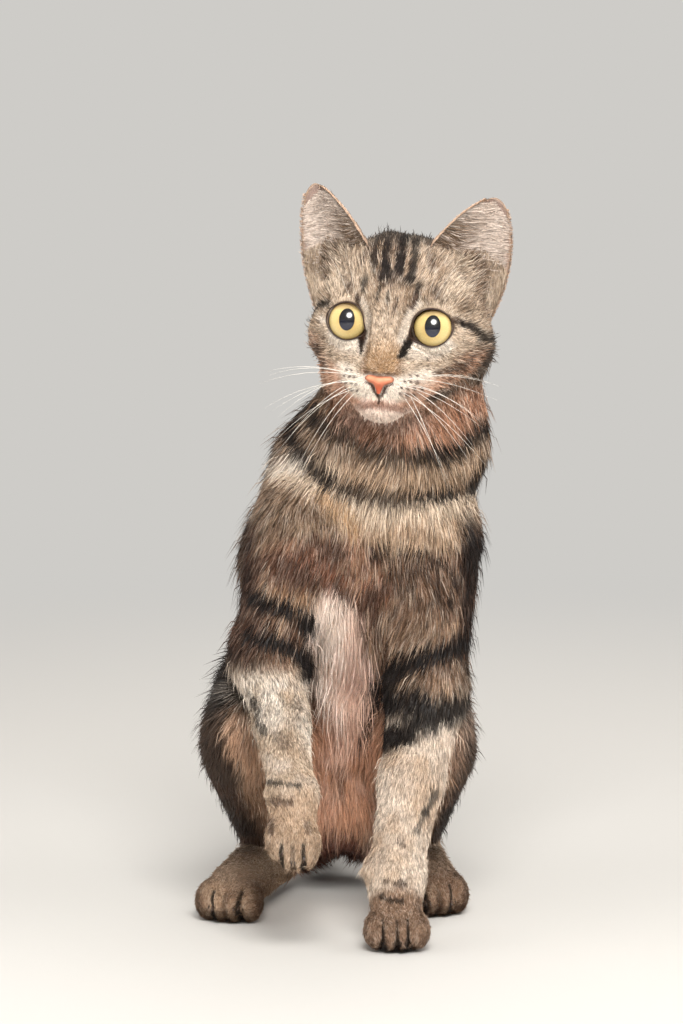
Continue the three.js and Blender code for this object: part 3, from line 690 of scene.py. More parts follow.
# Marks of the face seen from the front, in the head's frame: [shade, half width, strength, (x, z) ...]
FACE_MARKS = [
    ["black", 2.2, 0.8, (-9.3, 35), (-9.3, 28), (-8.5, 25)],
    ["black", 1.9, 0.9, (-4.4, 36), (-4.6, 30), (-3.2, 26)],
    ["black", 3.0, 0.9, (-3.4, 25), (-3, 22)],
    ["black", 2.2, 0.95, (2.2, 37), (2.4, 31), (3, 25)],
    ["black", 1.8, 0.9, (7.6, 36), (7.9, 30), (8.2, 22)],
    ["grey", 0.7, 0.8, (-6.8, 36), (-6.9, 24)],
    ["beige", 0.7, 0.8, (-1.4, 34), (-0.6, 25)],
    ["beige", 0.8, 0.8, (5.4, 34), (5.3, 23)],
    ["dark", 1.3, 0.75, (-12.5, 34), (-15, 27)],
    ["dark", 1.4, 0.7, (13.5, 33), (17, 27)],
    ["black", 1.5, 0.8, (6.6, 21), (8, 19.4)],
    ["black", 1.0, 0.8, (-5, 17), (-5.6, 10)],
    ["black", 0.9, 0.75, (-1, 15), (-0.4, 9)],
    ["dark", 0.6, 0.6, (-3.6, 18), (0, 18.6)],
    ["dark", 0.9, 0.7, (3.4, 12), (2.8, 5.5)],
    ["black", 1.7, 0.85, (12, 18.5), (12.4, 14)],
    ["dark", 1.4, 0.9, (11.4, 13), (10.4, 9)],
    ["black", 1.6, 0.8, (-12.4, 19.5), (-12.8, 15)],
    ["dark", 1.3, 0.85, (-15.4, 12.5), (-14.6, 8)],
    ["dark", 2.3, 0.75, (20, 17), (24.5, 14.5)],
    ["dark", 2.0, 0.75, (-22.5, 17), (-20, 15)],
    ["dark", 1.0, 0.5, (16, 13), (17.5, 11)],
    ["dark", 1.1, 0.8, (29.5, 5), (33, 2.6)],
    ["black", 2.1, 0.95, (33.4, 2.6), (37.6, 0.6), (41, -2.6), (47, -5.6)],
    ["black", 1.9, 0.85, (-30.6, 7.6), (-35, 6), (-39, 1)],
    ["black", 1.7, 0.8, (-39.6, -2), (-41, -8)],
    ["black", 1.7, 0.9, (44, -8), (41, -16), (37.6, -21.4), (32.6, -25.6), (26.6, -29.6), (21, -32)],
    ["dark", 1.5, 0.8, (34.6, -15.4), (32, -17.6)],
    ["dark", 1.3, 0.75, (32, -15), (27.4, -19.4), (23, -20.6)],
    ["dark", 1.1, 0.6, (41, -7), (36.6, -13)],
    ["dark", 2.4, 0.85, (-33.4, -13.6), (-32.6, -16)],
    ["dark", 1.5, 0.65, (-31, -20), (-27, -23)],
    ["dark", 1.7, 0.9, (10.8, -4.6), (9, -9)],
    ["black", 1.6, 1.0, (9.4, -8), (7.6, -13.4)],
    ["dark", 2.0, 1.0, (-12, -5.6), (-12, -9), (-11.4, -12)],
    ["black", 1.3, 0.95, (-12, -9), (-11.4, -13.4)],
]

# Marks of the body seen from the front: [shade, half width, strength, parts it is on, (x, z) ...]
BODY_MARKS = [
    ["dark", 1.6, 0.7, "trunk neck", (-29, 190), (-21, 181), (-12, 178)],
    ["black", 1.7, 0.85, "trunk neck arm_l", (12, 175), (24, 175), (36, 174), (48, 168), (51, 160), (47, 149)],
    ["black", 1.7, 0.7, "trunk neck arm_l", (24, 166), (36, 167), (43, 161), (42, 150)],
    ["black", 1.5, 0.6, "trunk arm_l", (26, 157), (33, 158), (37, 151)],
    ["dark", 2.2, 0.6, "trunk arm_l", (20, 146), (27, 148), (31, 141)],
    ["black", 2.6, 0.95, "trunk", (14, 175.5), (24, 177), (34, 175), (43, 168), (47, 158), (47, 146)],
    ["black", 2.2, 0.75, "trunk", (22, 166.5), (33, 169.5), (41, 162), (42, 152), (36, 142), (29, 138)],
    ["dark", 2.0, 0.9, "trunk", (15.5, 154), (14, 145), (19, 137)],
    ["black", 2.4, 0.8, "trunk", (-42, 173), (-30, 171), (-18, 175.5), (-4, 175)],
    ["dark", 2.2, 0.85, "trunk", (-20, 167), (-8, 170), (4, 166)],
    ["black", 3.9, 1.0, "arm_r trunk", (-37, 154), (-27, 150), (-20.5, 146), (-18, 139)],
    ["black", 4.0, 1.0, "arm_r trunk", (-38, 136), (-30, 133), (-22, 130), (-17, 120)],
    ["black", 5.2, 1.0, "arm_l trunk", (22, 113), (21, 104), (18, 96), (17, 88)],
    ["black", 1.9, 0.8, "arm_r", (-39, 109), (-37, 104)],
    ["black", 1.6, 0.75, "arm_r", (-35.5, 100), (-34, 97)],
    ["dark", 2.6, 0.5, "arm_r", (-28, 95), (-25, 93)],
    ["black", 0.9, 0.75, "arm_r", (-33, 77), (-27, 78), (-19, 77)],
    ["dark", 1.7, 0.75, "arm_r", (-30, 71), (-23, 70)],
    ["dark", 1.4, 0.7, "arm_r", (-31.5, 62), (-31, 58)],
    ["dark", 1.0, 0.6, "arm_r", (-16, 61), (-15, 58)],
    ["black", 5.0, 1.0, "arm_l trunk", (15, 108), (23, 115), (33, 122), (54, 132)],
    ["black", 7.2, 1.0, "arm_l trunk", (18, 90), (21, 99), (27, 104), (36, 105)],
    ["black", 5.8, 1.0, "arm_l trunk", (20, 87), (34, 96), (46, 100), (54, 103)],
    ["black", 1.9, 0.85, "arm_l", (42, 67), (38, 59)],
    ["black", 1.5, 0.75, "arm_l", (37.5, 57), (34, 50)],
    ["dark", 0.9, 0.7, "arm_l", (25, 46), (28.5, 44)],
    ["dark", 1.2, 0.75, "arm_l", (20.5, 30), (28.5, 28.6)],
    ["black", 1.2, 0.85, "arm_l", (18.5, 23.4), (23, 22), (27, 22)],
    ["dark", 2.4, 0.6, "trunk", (-1, 66), (-1, 54)],
]
# Black rings round the neck seen from the front: [half width, (x, z) ...]
NECK_RINGS = [
    [4.6, (-14, 240), (-10, 235), (3, 228), (19, 222), (36, 220), (49, 223), (64, 233)],
    [4.3, (-22, 236), (-20, 224), (-12, 214), (-1, 206), (16, 202), (33, 200), (49, 202), (61, 208), (68, 217)],
]
SPINE = np.array([NECK_TOP, WITHERS, RIBS, LOIN, PELVIS, (-4, 100, 34)], float)


def spine_place(p):
    """How far down the spine a point is, in mm, and how much it faces back rather than forward, from -1 to 1."""
    best, along, off = np.full(len(p), 1e9), np.zeros(len(p)), np.zeros_like(p)
    run = 0.0
    for a, b in zip(SPINE[:-1], SPINE[1:]):
        length = np.linalg.norm(b - a)
        t, q = onto(p, a, b)
        r = np.linalg.norm(q, axis=1)
        nearer = r < best
        best = np.where(nearer, r, best)
        along = np.where(nearer, run + t * length, along)
        off = np.where(nearer[:, None], q, off)
        run += length
    return along, unit(off) @ unit([0, 0.9, 0.45])


def front_colour(colour, p, wobble, fine):
    """The colours of the breast, the ruff and the belly, and how much of a point is ruff or belly."""
    x, z = p[:, 0], p[:, 2]
    flat = p[:, [0, 2]]
    mottled = noise(p, 5, 12) + 0.5 * fine
    breast = near(flat, [(6, 185), (50, 187)], 13, 6, 2.5 * wobble)
    patch = near(flat, [(-20, 168), (8, 168), (12, 158)], 16, 7, 4 * wobble)
    lower = smooth(z, 180, 173)
    over_ring = near(flat, [(-30, 213), (-14, 204), (-3, 198), (16, 194), (41, 194), (62, 200)], 6.5, 3.5, 1.5 * wobble)
    between = near(flat, [(-19, 216), (-4, 214), (20, 211), (45, 212), (60, 219)], 5.5, 3, 1.5 * wobble)
    sides = np.maximum(smooth(x, 50, 57), smooth(x, -30, -40)) * smooth(z, 196, 182)
    ragged = 4.5 * noise(p, 9, 13) + 2 * fine
    ruff = near(flat, [(-5, 142), (-4, 132), (1, 120), (8, 106)], 17, 8, ragged)
    under = smooth(z, 100, 88) * (1 - ruff)
    tone = paint(
        colour,
        ("grey", 0.75 + 0.2 * fine),
        ("dark", 0.5 * smooth(x, 2, -12) * smooth(mottled, -0.6, 0.6)),
        ("beige", breast * 0.95),
        ("cream", breast * 0.5 * smooth(fine + wobble, -0.2, 0.6)),
        ("brown", smooth(z, 179, 172) * 0.85),
        ("red", patch * 0.8),
        ("dark", (patch * 0.95 + 0.4 * lower * (1 - patch)) * smooth(mottled, -0.2, 0.2)),
        ("beige", lower * 0.55 * smooth(mottled, -0.25, -0.6)),
        ("tan", 0.3 * near(flat, [(-26, 155), (-16, 152)], 8, 3, 2 * wobble)),
        ("grey", 0.5 * near(flat, [(34, 150), (36, 134)], 14, 6, 3 * wobble) * smooth(fine, -0.4, 0.6)),
        ("cream", 0.9 * over_ring),
        ("tan", 0.75 * near(flat, [(-6, 198), (3, 189)], 8, 3, 2 * fine)),
        ("beige", 0.8 * between),
        ("cream", 0.5 * near(flat, [(-19, 216), (-4, 214)], 9, 3, 1.5 * wobble)),
        ("white", 0.7 * near(flat, [(-28, 213), (-17, 214)], 6, 3, fine)),
        ("dark", sides * 0.95),
        ("black", sides * smooth(fine + wobble, -0.6, 0.3) * mix(0.65, 0.95, smooth(x, 40, 56))),
        ("pink", ruff * 0.95),
        ("white", ruff * 0.6 * smooth(fine - 0.06 * (x - 2), -0.3, 0.5)),
        ("belly", 0.55 * ruff * smooth(fine + 0.05 * (x + 2), 0.1, 0.7)),
        ("belly", under * 0.95),
        ("cream", 0.6 * smooth(z, 40, 24)),
        ("red", 0.4 * under * smooth(z, 76, 86)),
        ("pink", under * 0.4 * smooth(fine, -0.3, 0.5)),
    )
    return tone, ruff, under


def hindleg_colour(colour, p, wobble, fine, paw_brown):
    """Thighs and shanks: black above and behind, greyish pink low in front."""
    x, y, z = p.T
    aside = np.abs(x)
    stripes = smooth(np.sin((z * 0.9 - 0.5 * y + 9 * wobble) * 2 * math.pi / 27), -0.2, 0.4)
    pale = smooth(z, 104, 90) * smooth(z, 34, 50) * smooth(y, 34, 8)
    rim = 57 - 0.27 * np.clip(90 - z, 0, 60)
    bar = smooth(np.abs(z - 58 - 0.5 * (aside - 50)) + 3 * wobble, 7, 3)
    foot = smooth(z, 30, 20) * smooth(y, 74, 50)
    return paint(
        colour,
        ("brown", 0 * x + 0.9),
        ("black", 0.25 + 0.6 * stripes * smooth(aside, 30, 52)),
        ("black", 0.9 * smooth(z + 4 * wobble, 93, 104)),
        ("beige", pale * 0.75),
        ("belly", pale * 0.3),
        ("brown", pale * 0.35 * smooth(fine, -0.3, 0.5)),
        ("black", smooth(np.abs(x - 2) + 3 * wobble, rim - 6, rim + 1) * smooth(z, 26, 38) * 0.9),
        ("dark", bar * 0.5 * smooth(aside, 40, 50)),
        ("belly", smooth(aside, 34, 20) * 0.85 * smooth(z, 110, 96)),
        ("beige", foot * 0.95),
        ("cream", 0.45 * foot * smooth(z + 3 * fine, 14, 22)),
        ("brown", foot * smooth(y, 30, 0) * (paw_brown + 0.4 * fine)),
    )


# The forelegs' colours: height where the pale part ends and is full, the same for its brightest part, amounts of
# cream and white, middle of the tan streak, the paw's outer and inner reach, and how brown it is
FORELEG_TONES = {
    "arm_r": ((128, 118), (126, 114), 0.95, 0.95, -27, TOES_R, (30, 18), 0.0),
    "arm_l": ((128, 100), (112, 92), 0.75, 0.55, 30, TOES_L, (22, 15), 0.7),
}


def foreleg_colour(colour, p, wobble, fine, wide, row):
    """Forelegs: cream in front, browner behind and on the paws."""
    x, y, z = p.T
    low_at, bright_at, cream, white, middle, toe, reach, paw_brown = row
    low = smooth(z, *low_at)
    bright = low * smooth(z, *bright_at)
    paw = smooth(np.linalg.norm(p - toe, axis=1), *reach)
    return paint(
        colour,
        ("beige", 0.6 * low),
        ("cream", bright * cream),
        ("white", bright * white * smooth(fine + wide, -0.8, 0.2)),
        ("beige", bright * 0.4 * smooth(fine - wide, 0, 0.7)),
        ("tan", low * 0.3 * smooth(np.abs(x - middle - 4 + 3 * wobble), 5, 1.5) * smooth(z, 80, 100)),
        ("dark", 0.55 * smooth(y - mix(0, -40, smooth(z, 110, 60)), 0, 14) * smooth(z, 20, 40)),
        ("beige", paw * 0.9),
        ("brown", paw * paw_brown),
    )


# The dark spots that the whiskers grow from, as a height and the distances from the middle
WHISKER_SPOTS = {
    -22: (13.5, 16),
    -24.6: (11.5, 14, 16.4),
    -27.5: (10.4, 13, 15.5, 18),
    -30.4: (10, 12.6, 15.2),
}


def head_colour(p, wobble, fine):
    """The head's colours, and how much of each point is calm, even hair."""
    q = to_head(p)
    m = mirror(q)
    hx, hy, hz = q.T
    aside = np.abs(hx)
    seen, seen_m = q[:, [0, 2]], m[:, [0, 2]]  # seen from the front
    edge = lid_edge(q)
    face = smooth(hy, 26, 10)
    bridge = smooth(aside + 0.6 * wobble, 10.2, 7) * smooth(hz, -2, -15) * smooth(hz, -24, -21.5) * smooth(hy, -4, -10)
    over_nose = smooth(np.abs(hz + 22.8 - 0.12 * aside), 1.7, 0.7) * smooth(aside, 8.5, 6.5) * smooth(hy, -18, -22)
    crescent = smooth(np.abs(edge - 2.2), 3.2, 1.9) * smooth(hz - 0.35 * (m[:, 0] - 21), -1, -5) * face
    inner_l = near(seen, [(13, 10.5), (10, 7), (8.2, 2), (7, -6)], 2.6, 1.0)
    inner_r = near(seen, [(-13, 10.5), (-10.5, 7), (-9, 2), (-9, -6)], 2.4, 1.0)
    inner_pale = np.maximum(inner_l * face, 0.8 * inner_r * face)
    muzzle = near(seen_m, [(4, -29), (16, -29), (18, -26)], 9, 5, 1.2 * fine) * smooth(hy, 0, -8)
    cheek_low = near(seen_m, [(22, -35), (33, -28), (40, -18)], 13, 6, 2 * wobble) * face
    jaw = smooth(hz, -32, -37) * smooth(aside, 34, 22)
    chin = near(seen, [(-5, -41.5), (8, -41.5)], 8, 3.5, 1.4 * fine) * smooth(hy, 0, -8)
    # Painted shade: a red-brown band along the mouth, under the upper lip.
    under_lip_shade = smooth(np.abs(hz + 36.6 + 0.012 * (hx - 1) ** 2), 2.6, 1.0) * smooth(np.abs(hx - 1), 13, 8)
    tone = paint(
        np.broadcast_to(SHADES["grey"], p.shape),
        ("beige", 0.55 + 0.3 * fine),
        ("cream", 0.5 * face * smooth(fine, -0.7, 0.4)),
        ("dark", 0.6 * smooth(hy, 14, 30)),
        ("dark", 0.8 * near(seen, [(-3, 36), (0, 25)], 11, 6, wobble + fine) * face),
        ("black", 0.85 * smooth(hy, 14, 26) * smooth(aside + 2 * wobble, 24, 12)),
        ("black", 0.75 * smooth(hz + 1.5 * wobble + 1.2 * noise(p, 3, 15), 34.5, 38) * smooth(aside, 20, 13)),
        ("beige", 0.6 * face * smooth(aside, 10, 4) * smooth(hz, 20, 6) * smooth(hz, -12, -2)),
        ("cream", 0.5 * face * smooth(aside, 9.5, 5) * smooth(hz, 12, 4) * smooth(hz, -14, -6)),
        ("tan", 0.9 * bridge),
        ("brown", 0.75 * bridge * smooth(aside + 0.6 * fine, 6, 8.6) * smooth(hz, -8, -14)),
        ("dark", 0.8 * over_nose),
        ("cream", 0.7 * smooth(edge, 6.5, 2.5) * face),
        ("cream", 0.7 * near(seen_m, [(15, -17), (26, -15)], 8, 4, 2 * fine) * face),
        ("white", 0.55 * near(seen_m, [(12, -11.5), (21, -11.5), (29, -5)], 5.5, 2) * face),
        ("white", crescent),
        ("cream", 0.9 * near(seen, [(31, -2), (33.5, -6)], 5, 2, fine) * face),
        ("cream", 0.8 * near(seen, [(-31, -4), (-31, -8)], 4, 1.5, fine) * face),
        ("white", 0.85 * inner_pale),
        ("white", 0.95 * muzzle * (1 - bridge)),
        ("beige", 0.3 * near(seen_m, [(27, -26), (38, -14)], 14, 6, 3 * wobble) * face),
        ("belly", 0.8 * cheek_low),
        ("red", 0.4 * cheek_low * smooth(fine, -0.4, 0.5)),
        ("belly", 0.9 * jaw * smooth(hy, 32, 16)),
        ("pink", 0.3 * jaw * smooth(aside, 24, 12) * smooth(hy, 24, 8)),
        ("pink", 0.9 * chin),
        ("white", 0.55 * chin),
        ("red", 0.3 * smooth(hy, -6, 6) * smooth(hz, -26, -34) * (0.5 + 0.5 * fine)),
        ("red", 0.75 * under_lip_shade * smooth(hy, -4, -10)),
    )
    ragged, marks_on = 0.4 * noise(p, 5, 4) + 0.3 * noise(p, 1.8, 5), smooth(hy, 44, 28)
    for shade, half, strength, *line in FACE_MARKS:
        mark = near(seen, line, half * 1.5, half * 0.5, half * ragged)
        tone = paint(tone, (shade, mark * strength * marks_on))
    for z0, row in WHISKER_SPOTS.items():
        for x0 in row:
            spot = smooth(np.hypot(m[:, 0] - x0, hz - z0), 1.0, 0.35)
            tone = paint(tone, ("dark", 0.85 * spot * smooth(hy, -4, -10)))
    # Painted shade: dark in the slits of the nostrils, in the groove under the nose and along the crease of the mouth.
    under_wing = near(seen_m, [(1.0, -32), (2.6, -29.8), (2.9, -28), (4.6, -27), (6.2, -26.2)], 1.1, 0.4)
    below_nose = smooth(aside, 0.9, 0.4) * smooth(np.abs(hz + 33.6), 2.6, 1.6)
    mouth = mouth_line(m)
    tuft = near(seen_m, [(27, 18), (31, 26), (27, 32)], 8, 3, 2 * fine) * smooth(hy, 28, 20)
    bowl = smooth(ear_bowl(m) + fine, 2.8, -0.5) * smooth(hz, 12, 19) * smooth(m[:, 0], 24, 30)
    tone = paint(
        tone,
        ("dark", 0.85 * smooth(edge - 0.4 * smooth(hz, 0, 6), 0.7, 0.2) * smooth(hy, 4, -2)),
        ("dark", 0.95 * under_wing * smooth(hy, -18, -24)),
        ("dark", 0.9 * below_nose * smooth(hy, -18, -24)),
        ("belly", 0.6 * smooth(mouth, 2.6, 1.2) * smooth(hy, -2, -6) * smooth(hz, -32, -34)),
        ("dark", 0.95 * smooth(mouth, 1.6, 0.7) * smooth(m[:, 0], 14, 6)),
        ("cream", 0.8 * tuft),
        ("cream", 0.8 * bowl),
        ("white", 0.4 * bowl * smooth(fine, -0.3, 0.5)),
    )
    calm = np.maximum.reduce([0.75 * muzzle, 0.5 * bowl, 0.9 * chin, 0.8 * crescent, 0.7 * inner_pale])
    return tone, calm


def markings(p, share):
    """The coat's colour at points, and how strongly each hair there is ticked."""
    part = dict(zip(REGIONS, share.T))
    wide, fine, wobble = noise(p, 24, 1), noise(p, 7, 2), noise(p, 12, 3)
    x, y, z = p.T
    off_head = 1 - part["head"]
    along, back = spine_place(p)
    front = smooth(back, 0.15, -0.45)
    flat = p[:, [0, 2]]

    # The trunk: dark over the back and flanks with broad bars
    bars = smooth(np.sin((along + 7 * wobble + 16 * back) * 2 * math.pi / 30), -0.25, 0.35)
    colour = paint(
        np.broadcast_to(SHADES["brown"], p.shape),
        ("grey", 0.5 + 0.4 * fine),
        ("dark", 0.55 * (1 - front)),
        ("black", (0.25 + 0.7 * bars) * smooth(back, -0.35, 0.1)),
        ("black", 0.9 * smooth(back + 0.06 * wobble, 0.9, 0.97)),
    )
    tone, ruff, under = front_colour(colour, p, wobble, fine)
    colour = mix(colour, tone, front[:, None])

    # Rings round the neck, which go on over the sides and fade at the nape
    around = front * smooth(z, 190, 200) * off_head
    throat = near(flat, [(6, 243), (14, 238), (30, 235), (46, 238), (56, 245)], 14, 7, wobble) * around
    fade = (1 - 0.15 * smooth(np.abs(x - 18), 24, 8)) * off_head * smooth(back, 0.45, 0.0)
    for half, *line in NECK_RINGS:
        ring = near(flat, line, half * 1.3, half * 0.6, 1.2 * wobble + 0.8 * fine)
        colour = paint(colour, ("black", ring * 0.95 * fade))
    colour = paint(
        colour,
        ("red", throat * 0.8),
        ("belly", throat * (0.6 + 0.4 * fine)),
        ("pink", 0.55 * around * near(flat, [(8, 241), (30, 240)], 13, 4, 1.5 * fine)),
    )

    for leg, paw_brown in (("leg_r", 0.35), ("leg_l", 0.6)):
        colour = mix(colour, hindleg_colour(colour, p, wobble, fine, paw_brown), part[leg][:, None])
    for arm, row in FORELEG_TONES.items():
        colour = mix(colour, foreleg_colour(colour, p, wobble, fine, wide, row), part[arm][:, None])
    ragged, crisp = 0.3 * wobble + 0.25 * noise(p, 4, 11), 0.75 * noise(p, 1.9, 14)
    for shade, half, strength, on, *line in BODY_MARKS:
        where = sum(part[k] for k in on.split()) * (1 if on.startswith("arm") else front)
        rough = half * ragged + min(half, 1.6) * crisp
        colour = paint(colour, (shade, near(flat, line, half * 1.35, half * 0.6, rough) * where * strength))

    # The tail: rings and a dark tip
    rings = smooth(np.sin((y + 0.6 * x + 5 * wobble) * 2 * math.pi / 24), -0.3, 0.3)
    dark_tip = smooth(x + y, 196, 206)
    tone = paint(colour, ("brown", 0.7 + 0 * x), ("black", 0.85 * np.maximum(rings, dark_tip)))
    colour = mix(colour, tone, part["tail"][:, None])

    tone, calm_head = head_colour(p, wobble, fine)
    colour = mix(colour, tone, part["head"][:, None])
    # Painted shade: the hollow under the belly and the low rump behind it are darkened towards a shadowed red-brown.
    shaded = smooth(hollow(p), 5, 1) * smooth(z, 40, 30)
    behind = smooth(z, 24, 14) * smooth(np.abs(x + 1), 27, 20) * smooth(y, 40, 60) * (1 - part["tail"])
    colour = paint(colour, ("shaded", 0.9 * np.maximum(shaded, behind)))

    calm = np.maximum(front * np.maximum(ruff, 0.6 * under) * off_head, part["head"] * calm_head)
    feet = smooth(z, 74, 46) * (1 - part["trunk"] - part["tail"])
    arms = (part["arm_r"] + part["arm_l"]) * smooth(z, 120, 100)
    return colour, (0.95 + 0.75 * part["head"] + 0.75 * feet + 0.6 * arms) * (1 - calm)


# ==== Materials and meshes ====

eyes_middle = sum(np.add(*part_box(n)) / 2 for n in ("eye_l", "eye_r")) / 2
OFFSET = HEAD_PLACE - eyes_middle * 1000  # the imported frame's origin in the cat's own frame


def metres(p):
    return (np.asarray(p, float) - OFFSET) / 1000


class Nodes:
    """The emptied node tree of a material or a world, with short ways to add to it."""

    def __init__(self, owner):
        self.owner = owner
        owner.use_nodes = True
        self.tree = owner.node_tree
        self.tree.nodes.clear()

    def add(self, kind, values=None, **settings):
        node = self.tree.nodes.new("ShaderNode" + kind)
        for key, value in settings.items():
            setattr(node, key, value)
        for key, value in (values or {}).items():
            if isinstance(value, bpy.types.NodeSocket):
                self.tree.links.new(value, node.inputs[key])
            else:
                node.inputs[key].default_value = value
        return node

    def math(self, operation, *values):
        return self.add("Math", dict(enumerate(values)), operation=operation).outputs[0]

    def radius(self, x, y):
        return self.math("SQRT", self.math("ADD", self.math("MULTIPLY", x, x), self.math("MULTIPLY", y, y)))

    def ramp(self, value, lo, hi, at_lo, at_hi, **settings):
        """A value from at_lo, where the input is lo, to at_hi, where it is hi."""
        return self.add("MapRange", {0: value, 1: lo, 2: hi, 3: at_lo, 4: at_hi}, **settings).outputs[0]

    def blend(self, factor, a, b, how="MIX"):
        return self.add("Mix", {0: factor, 6: a, 7: b}, data_type="RGBA", blend_type=how).outputs[2]

    def shaded(self, colour, red, green=None, blue=None):
        """A colour times a shade, which is the same in all channels if only one is given."""
        shade = self.add("CombineColor", {0: red, 1: green or red, 2: blue or red}).outputs[0]
        return self.blend(1.0, colour, shade, "MULTIPLY")

    def noise(self, scale, detail, **values):
        """Noise over the object's own place."""
        where = self.add("TexCoord").outputs["Object"]
        return self.add("TexNoise", {"Vector": where, "Scale": scale, "Detail": detail, **values}).outputs["Fac"]

    def points_colour(self):
        return self.add("Attribute", attribute_name="Col").outputs["Color"]

    def finish(self, **values):
        shader = self.add("BsdfPrincipled", {k.replace("_", " "): v for k, v in values.items()})
        self.add("OutputMaterial", {"Surface": shader.outputs[0]})
        return self.owner


def new_material(name):
    return Nodes(bpy.data.materials.new(name))


def rgba(rgb):
    return (*linear(rgb), 1.0)


def coat_material(name, rough):
    n = new_material(name)
    shade = n.math("MULTIPLY_ADD", n.noise(900.0, 2.0), 0.5, 0.75)
    colour = n.shaded(n.points_colour(), shade)
    return n.finish(Base_Color=colour, Roughness=rough, Specular_IOR_Level=0.22, Sheen_Weight=0.04,
                    Sheen_Roughness=0.5)


def skin_material():
    """Short flat hair close to the skin: fine ticks of colour and a fine bump."""
    n = new_material("skin_and_down")
    fine = n.noise(1400.0, 3.0, Roughness=0.7)
    wide = n.math("MULTIPLY_ADD", n.noise(260.0, 2.0), 0.5, -0.2)
    shade = n.math("ADD", n.math("MULTIPLY_ADD", fine, 0.9, 0.3), wide)
    bump = n.add("Bump", {"Strength": 0.5, "Distance": 0.0006, "Height": fine})
    return n.finish(Base_Color=n.shaded(n.points_colour(), shade), Roughness=0.75, Specular_IOR_Level=0.25,
                    Normal=bump.outputs[0])


def leather_material():
    n = new_material("nose_leather")
    place = n.add("TexCoord").outputs["Object"]
    cells = n.add("TexVoronoi", {"Vector": place, "Scale": 1500.0}).outputs["Distance"]
    shade = n.math("MULTIPLY_ADD", n.noise(500.0, 3.0), 0.4, 0.8)
    bump = n.add("Bump", {"Strength": 0.35, "Distance": 0.0003, "Height": cells})
    return n.finish(Base_Color=n.shaded(n.points_colour(), shade), Roughness=0.42, Specular_IOR_Level=0.45,
                    Normal=bump.outputs[0])


def plain_material(name, rgb, rough, vary=0.15, **more):
    n = new_material(name)
    light, dark = rgba(np.array(rgb) * (1 + vary * 0.5)), rgba(np.array(rgb) * (1 - vary))
    return n.finish(Base_Color=n.blend(n.noise(400.0, 3.0), dark, light), Roughness=rough, **more)


PUPIL = (0.35, 0.49)  # half width and half height, as parts of the eyeball's radius
IRIS = 0.84


def eye_material():
    """The eye by its place in the plane across its line of sight: pupil, iris with fine rays, dark rim, white."""
    n = new_material("eye_wet")
    split = n.add("SeparateXYZ", {0: n.add("UVMap", uv_map="EyePlane").outputs[0]})
    x, y = split.outputs[0], split.outputs[1]
    r = n.radius(x, y)
    pupil_y = n.math("DIVIDE", n.math("SUBTRACT", y, 0.06), PUPIL[1])
    pupil_r = n.radius(n.math("DIVIDE", x, PUPIL[0]), pupil_y)
    turn = n.math("MULTIPLY", n.math("ARCTAN2", y, x), 9.0)
    rays_at = n.add("CombineXYZ", {0: turn, 1: n.math("MULTIPLY", r, 5.0), 2: 0.0}).outputs[0]
    rays = n.add("TexNoise", {"Vector": rays_at, "Scale": 2.2, "Detail": 4.0, "Roughness": 0.65}).outputs["Fac"]
    ramp = n.add("ValToRGB", {0: n.math("DIVIDE", r, IRIS)})
    stops = {0.36: (196, 162, 100), 0.55: (210, 184, 122), 0.8: (214, 192, 130), 0.92: (192, 166, 104),
             0.975: (104, 82, 46)}
    while len(ramp.color_ramp.elements) < len(stops):
        ramp.color_ramp.elements.new(0.5)
    for element, (at, rgb) in zip(ramp.color_ramp.elements, stops.items()):
        element.position, element.color = at, rgba(rgb)
    top = n.ramp(y, 0.42, 0.78, 1.0, 0.26)  # the upper lid's shade
    shade = n.math("MULTIPLY", n.math("MULTIPLY_ADD", rays, 0.7, 0.66), top)
    warmer = n.math("MULTIPLY", shade, n.math("MULTIPLY_ADD", top, 0.2, 0.8))
    iris = n.shaded(ramp.outputs[0], shade, warmer)
    outside = n.ramp(r, IRIS - 0.005, IRIS + 0.015, 0.0, 1.0)
    off_ring = n.math("ABSOLUTE", n.math("SUBTRACT", r, IRIS + 0.01))
    ring = n.math("MULTIPLY", n.ramp(off_ring, 0.012, 0.035, 1.0, 0.0), 0.9)
    colour = n.blend(ring, n.blend(outside, iris, rgba((150, 134, 122))), rgba((40, 31, 24)))
    # The pupil is near black, with a painted bluish reflection over its lower part.
    dark = n.blend(n.ramp(y, -0.4, 0.1, 1.0, 0.0), rgba((7, 7, 10)), rgba((24, 28, 54)))
    colour = n.blend(n.ramp(pupil_r, 0.97, 1.03, 1.0, 0.0), colour, dark)
    return n.finish(Base_Color=colour, Roughness=0.2, IOR=1.38, Specular_IOR_Level=0.5, Coat_Weight=1.0,
                    Coat_Roughness=0.02)


def show(name, data):
    """A new object of the scene."""
    thing = bpy.data.objects.new(name, data)
    bpy.context.scene.collection.objects.link(thing)
    return thing


def mesh_piece(name, points, tris, material, slot, colours=None, uv=None, uv_name="OFBake", flat=False):
    """A mesh piece from points in the cat's frame, with a colour and a place on the map for each point."""
    me = bpy.data.meshes.new(name)
    me.vertices.add(len(points))
    me.vertices.foreach_set("co", metres(points).astype(np.float32).ravel())
    me.loops.add(3 * len(tris))
    me.loops.foreach_set("vertex_index", tris.astype(np.int32).ravel())
    me.polygons.add(len(tris))
    me.polygons.foreach_set("loop_start", np.arange(0, 3 * len(tris), 3, dtype=np.int32))
    me.polygons.foreach_set("use_smooth", np.full(len(tris), not flat))
    if colours is not None:
        layer = me.color_attributes.new("Col", "FLOAT_COLOR", "POINT")
        with_alpha = np.column_stack((colours, np.ones(len(colours))))
        layer.data.foreach_set("color", with_alpha.astype(np.float32).ravel())
    if uv is not None:
        me.uv_layers.new(name=uv_name).data.foreach_set("uv", uv[tris.ravel()].astype(np.float32).ravel())
    me.update(calc_edges=True)
    me.validate()
    me.materials.append(material)
    piece = show(name, me)
    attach(piece, "root")
    return piece


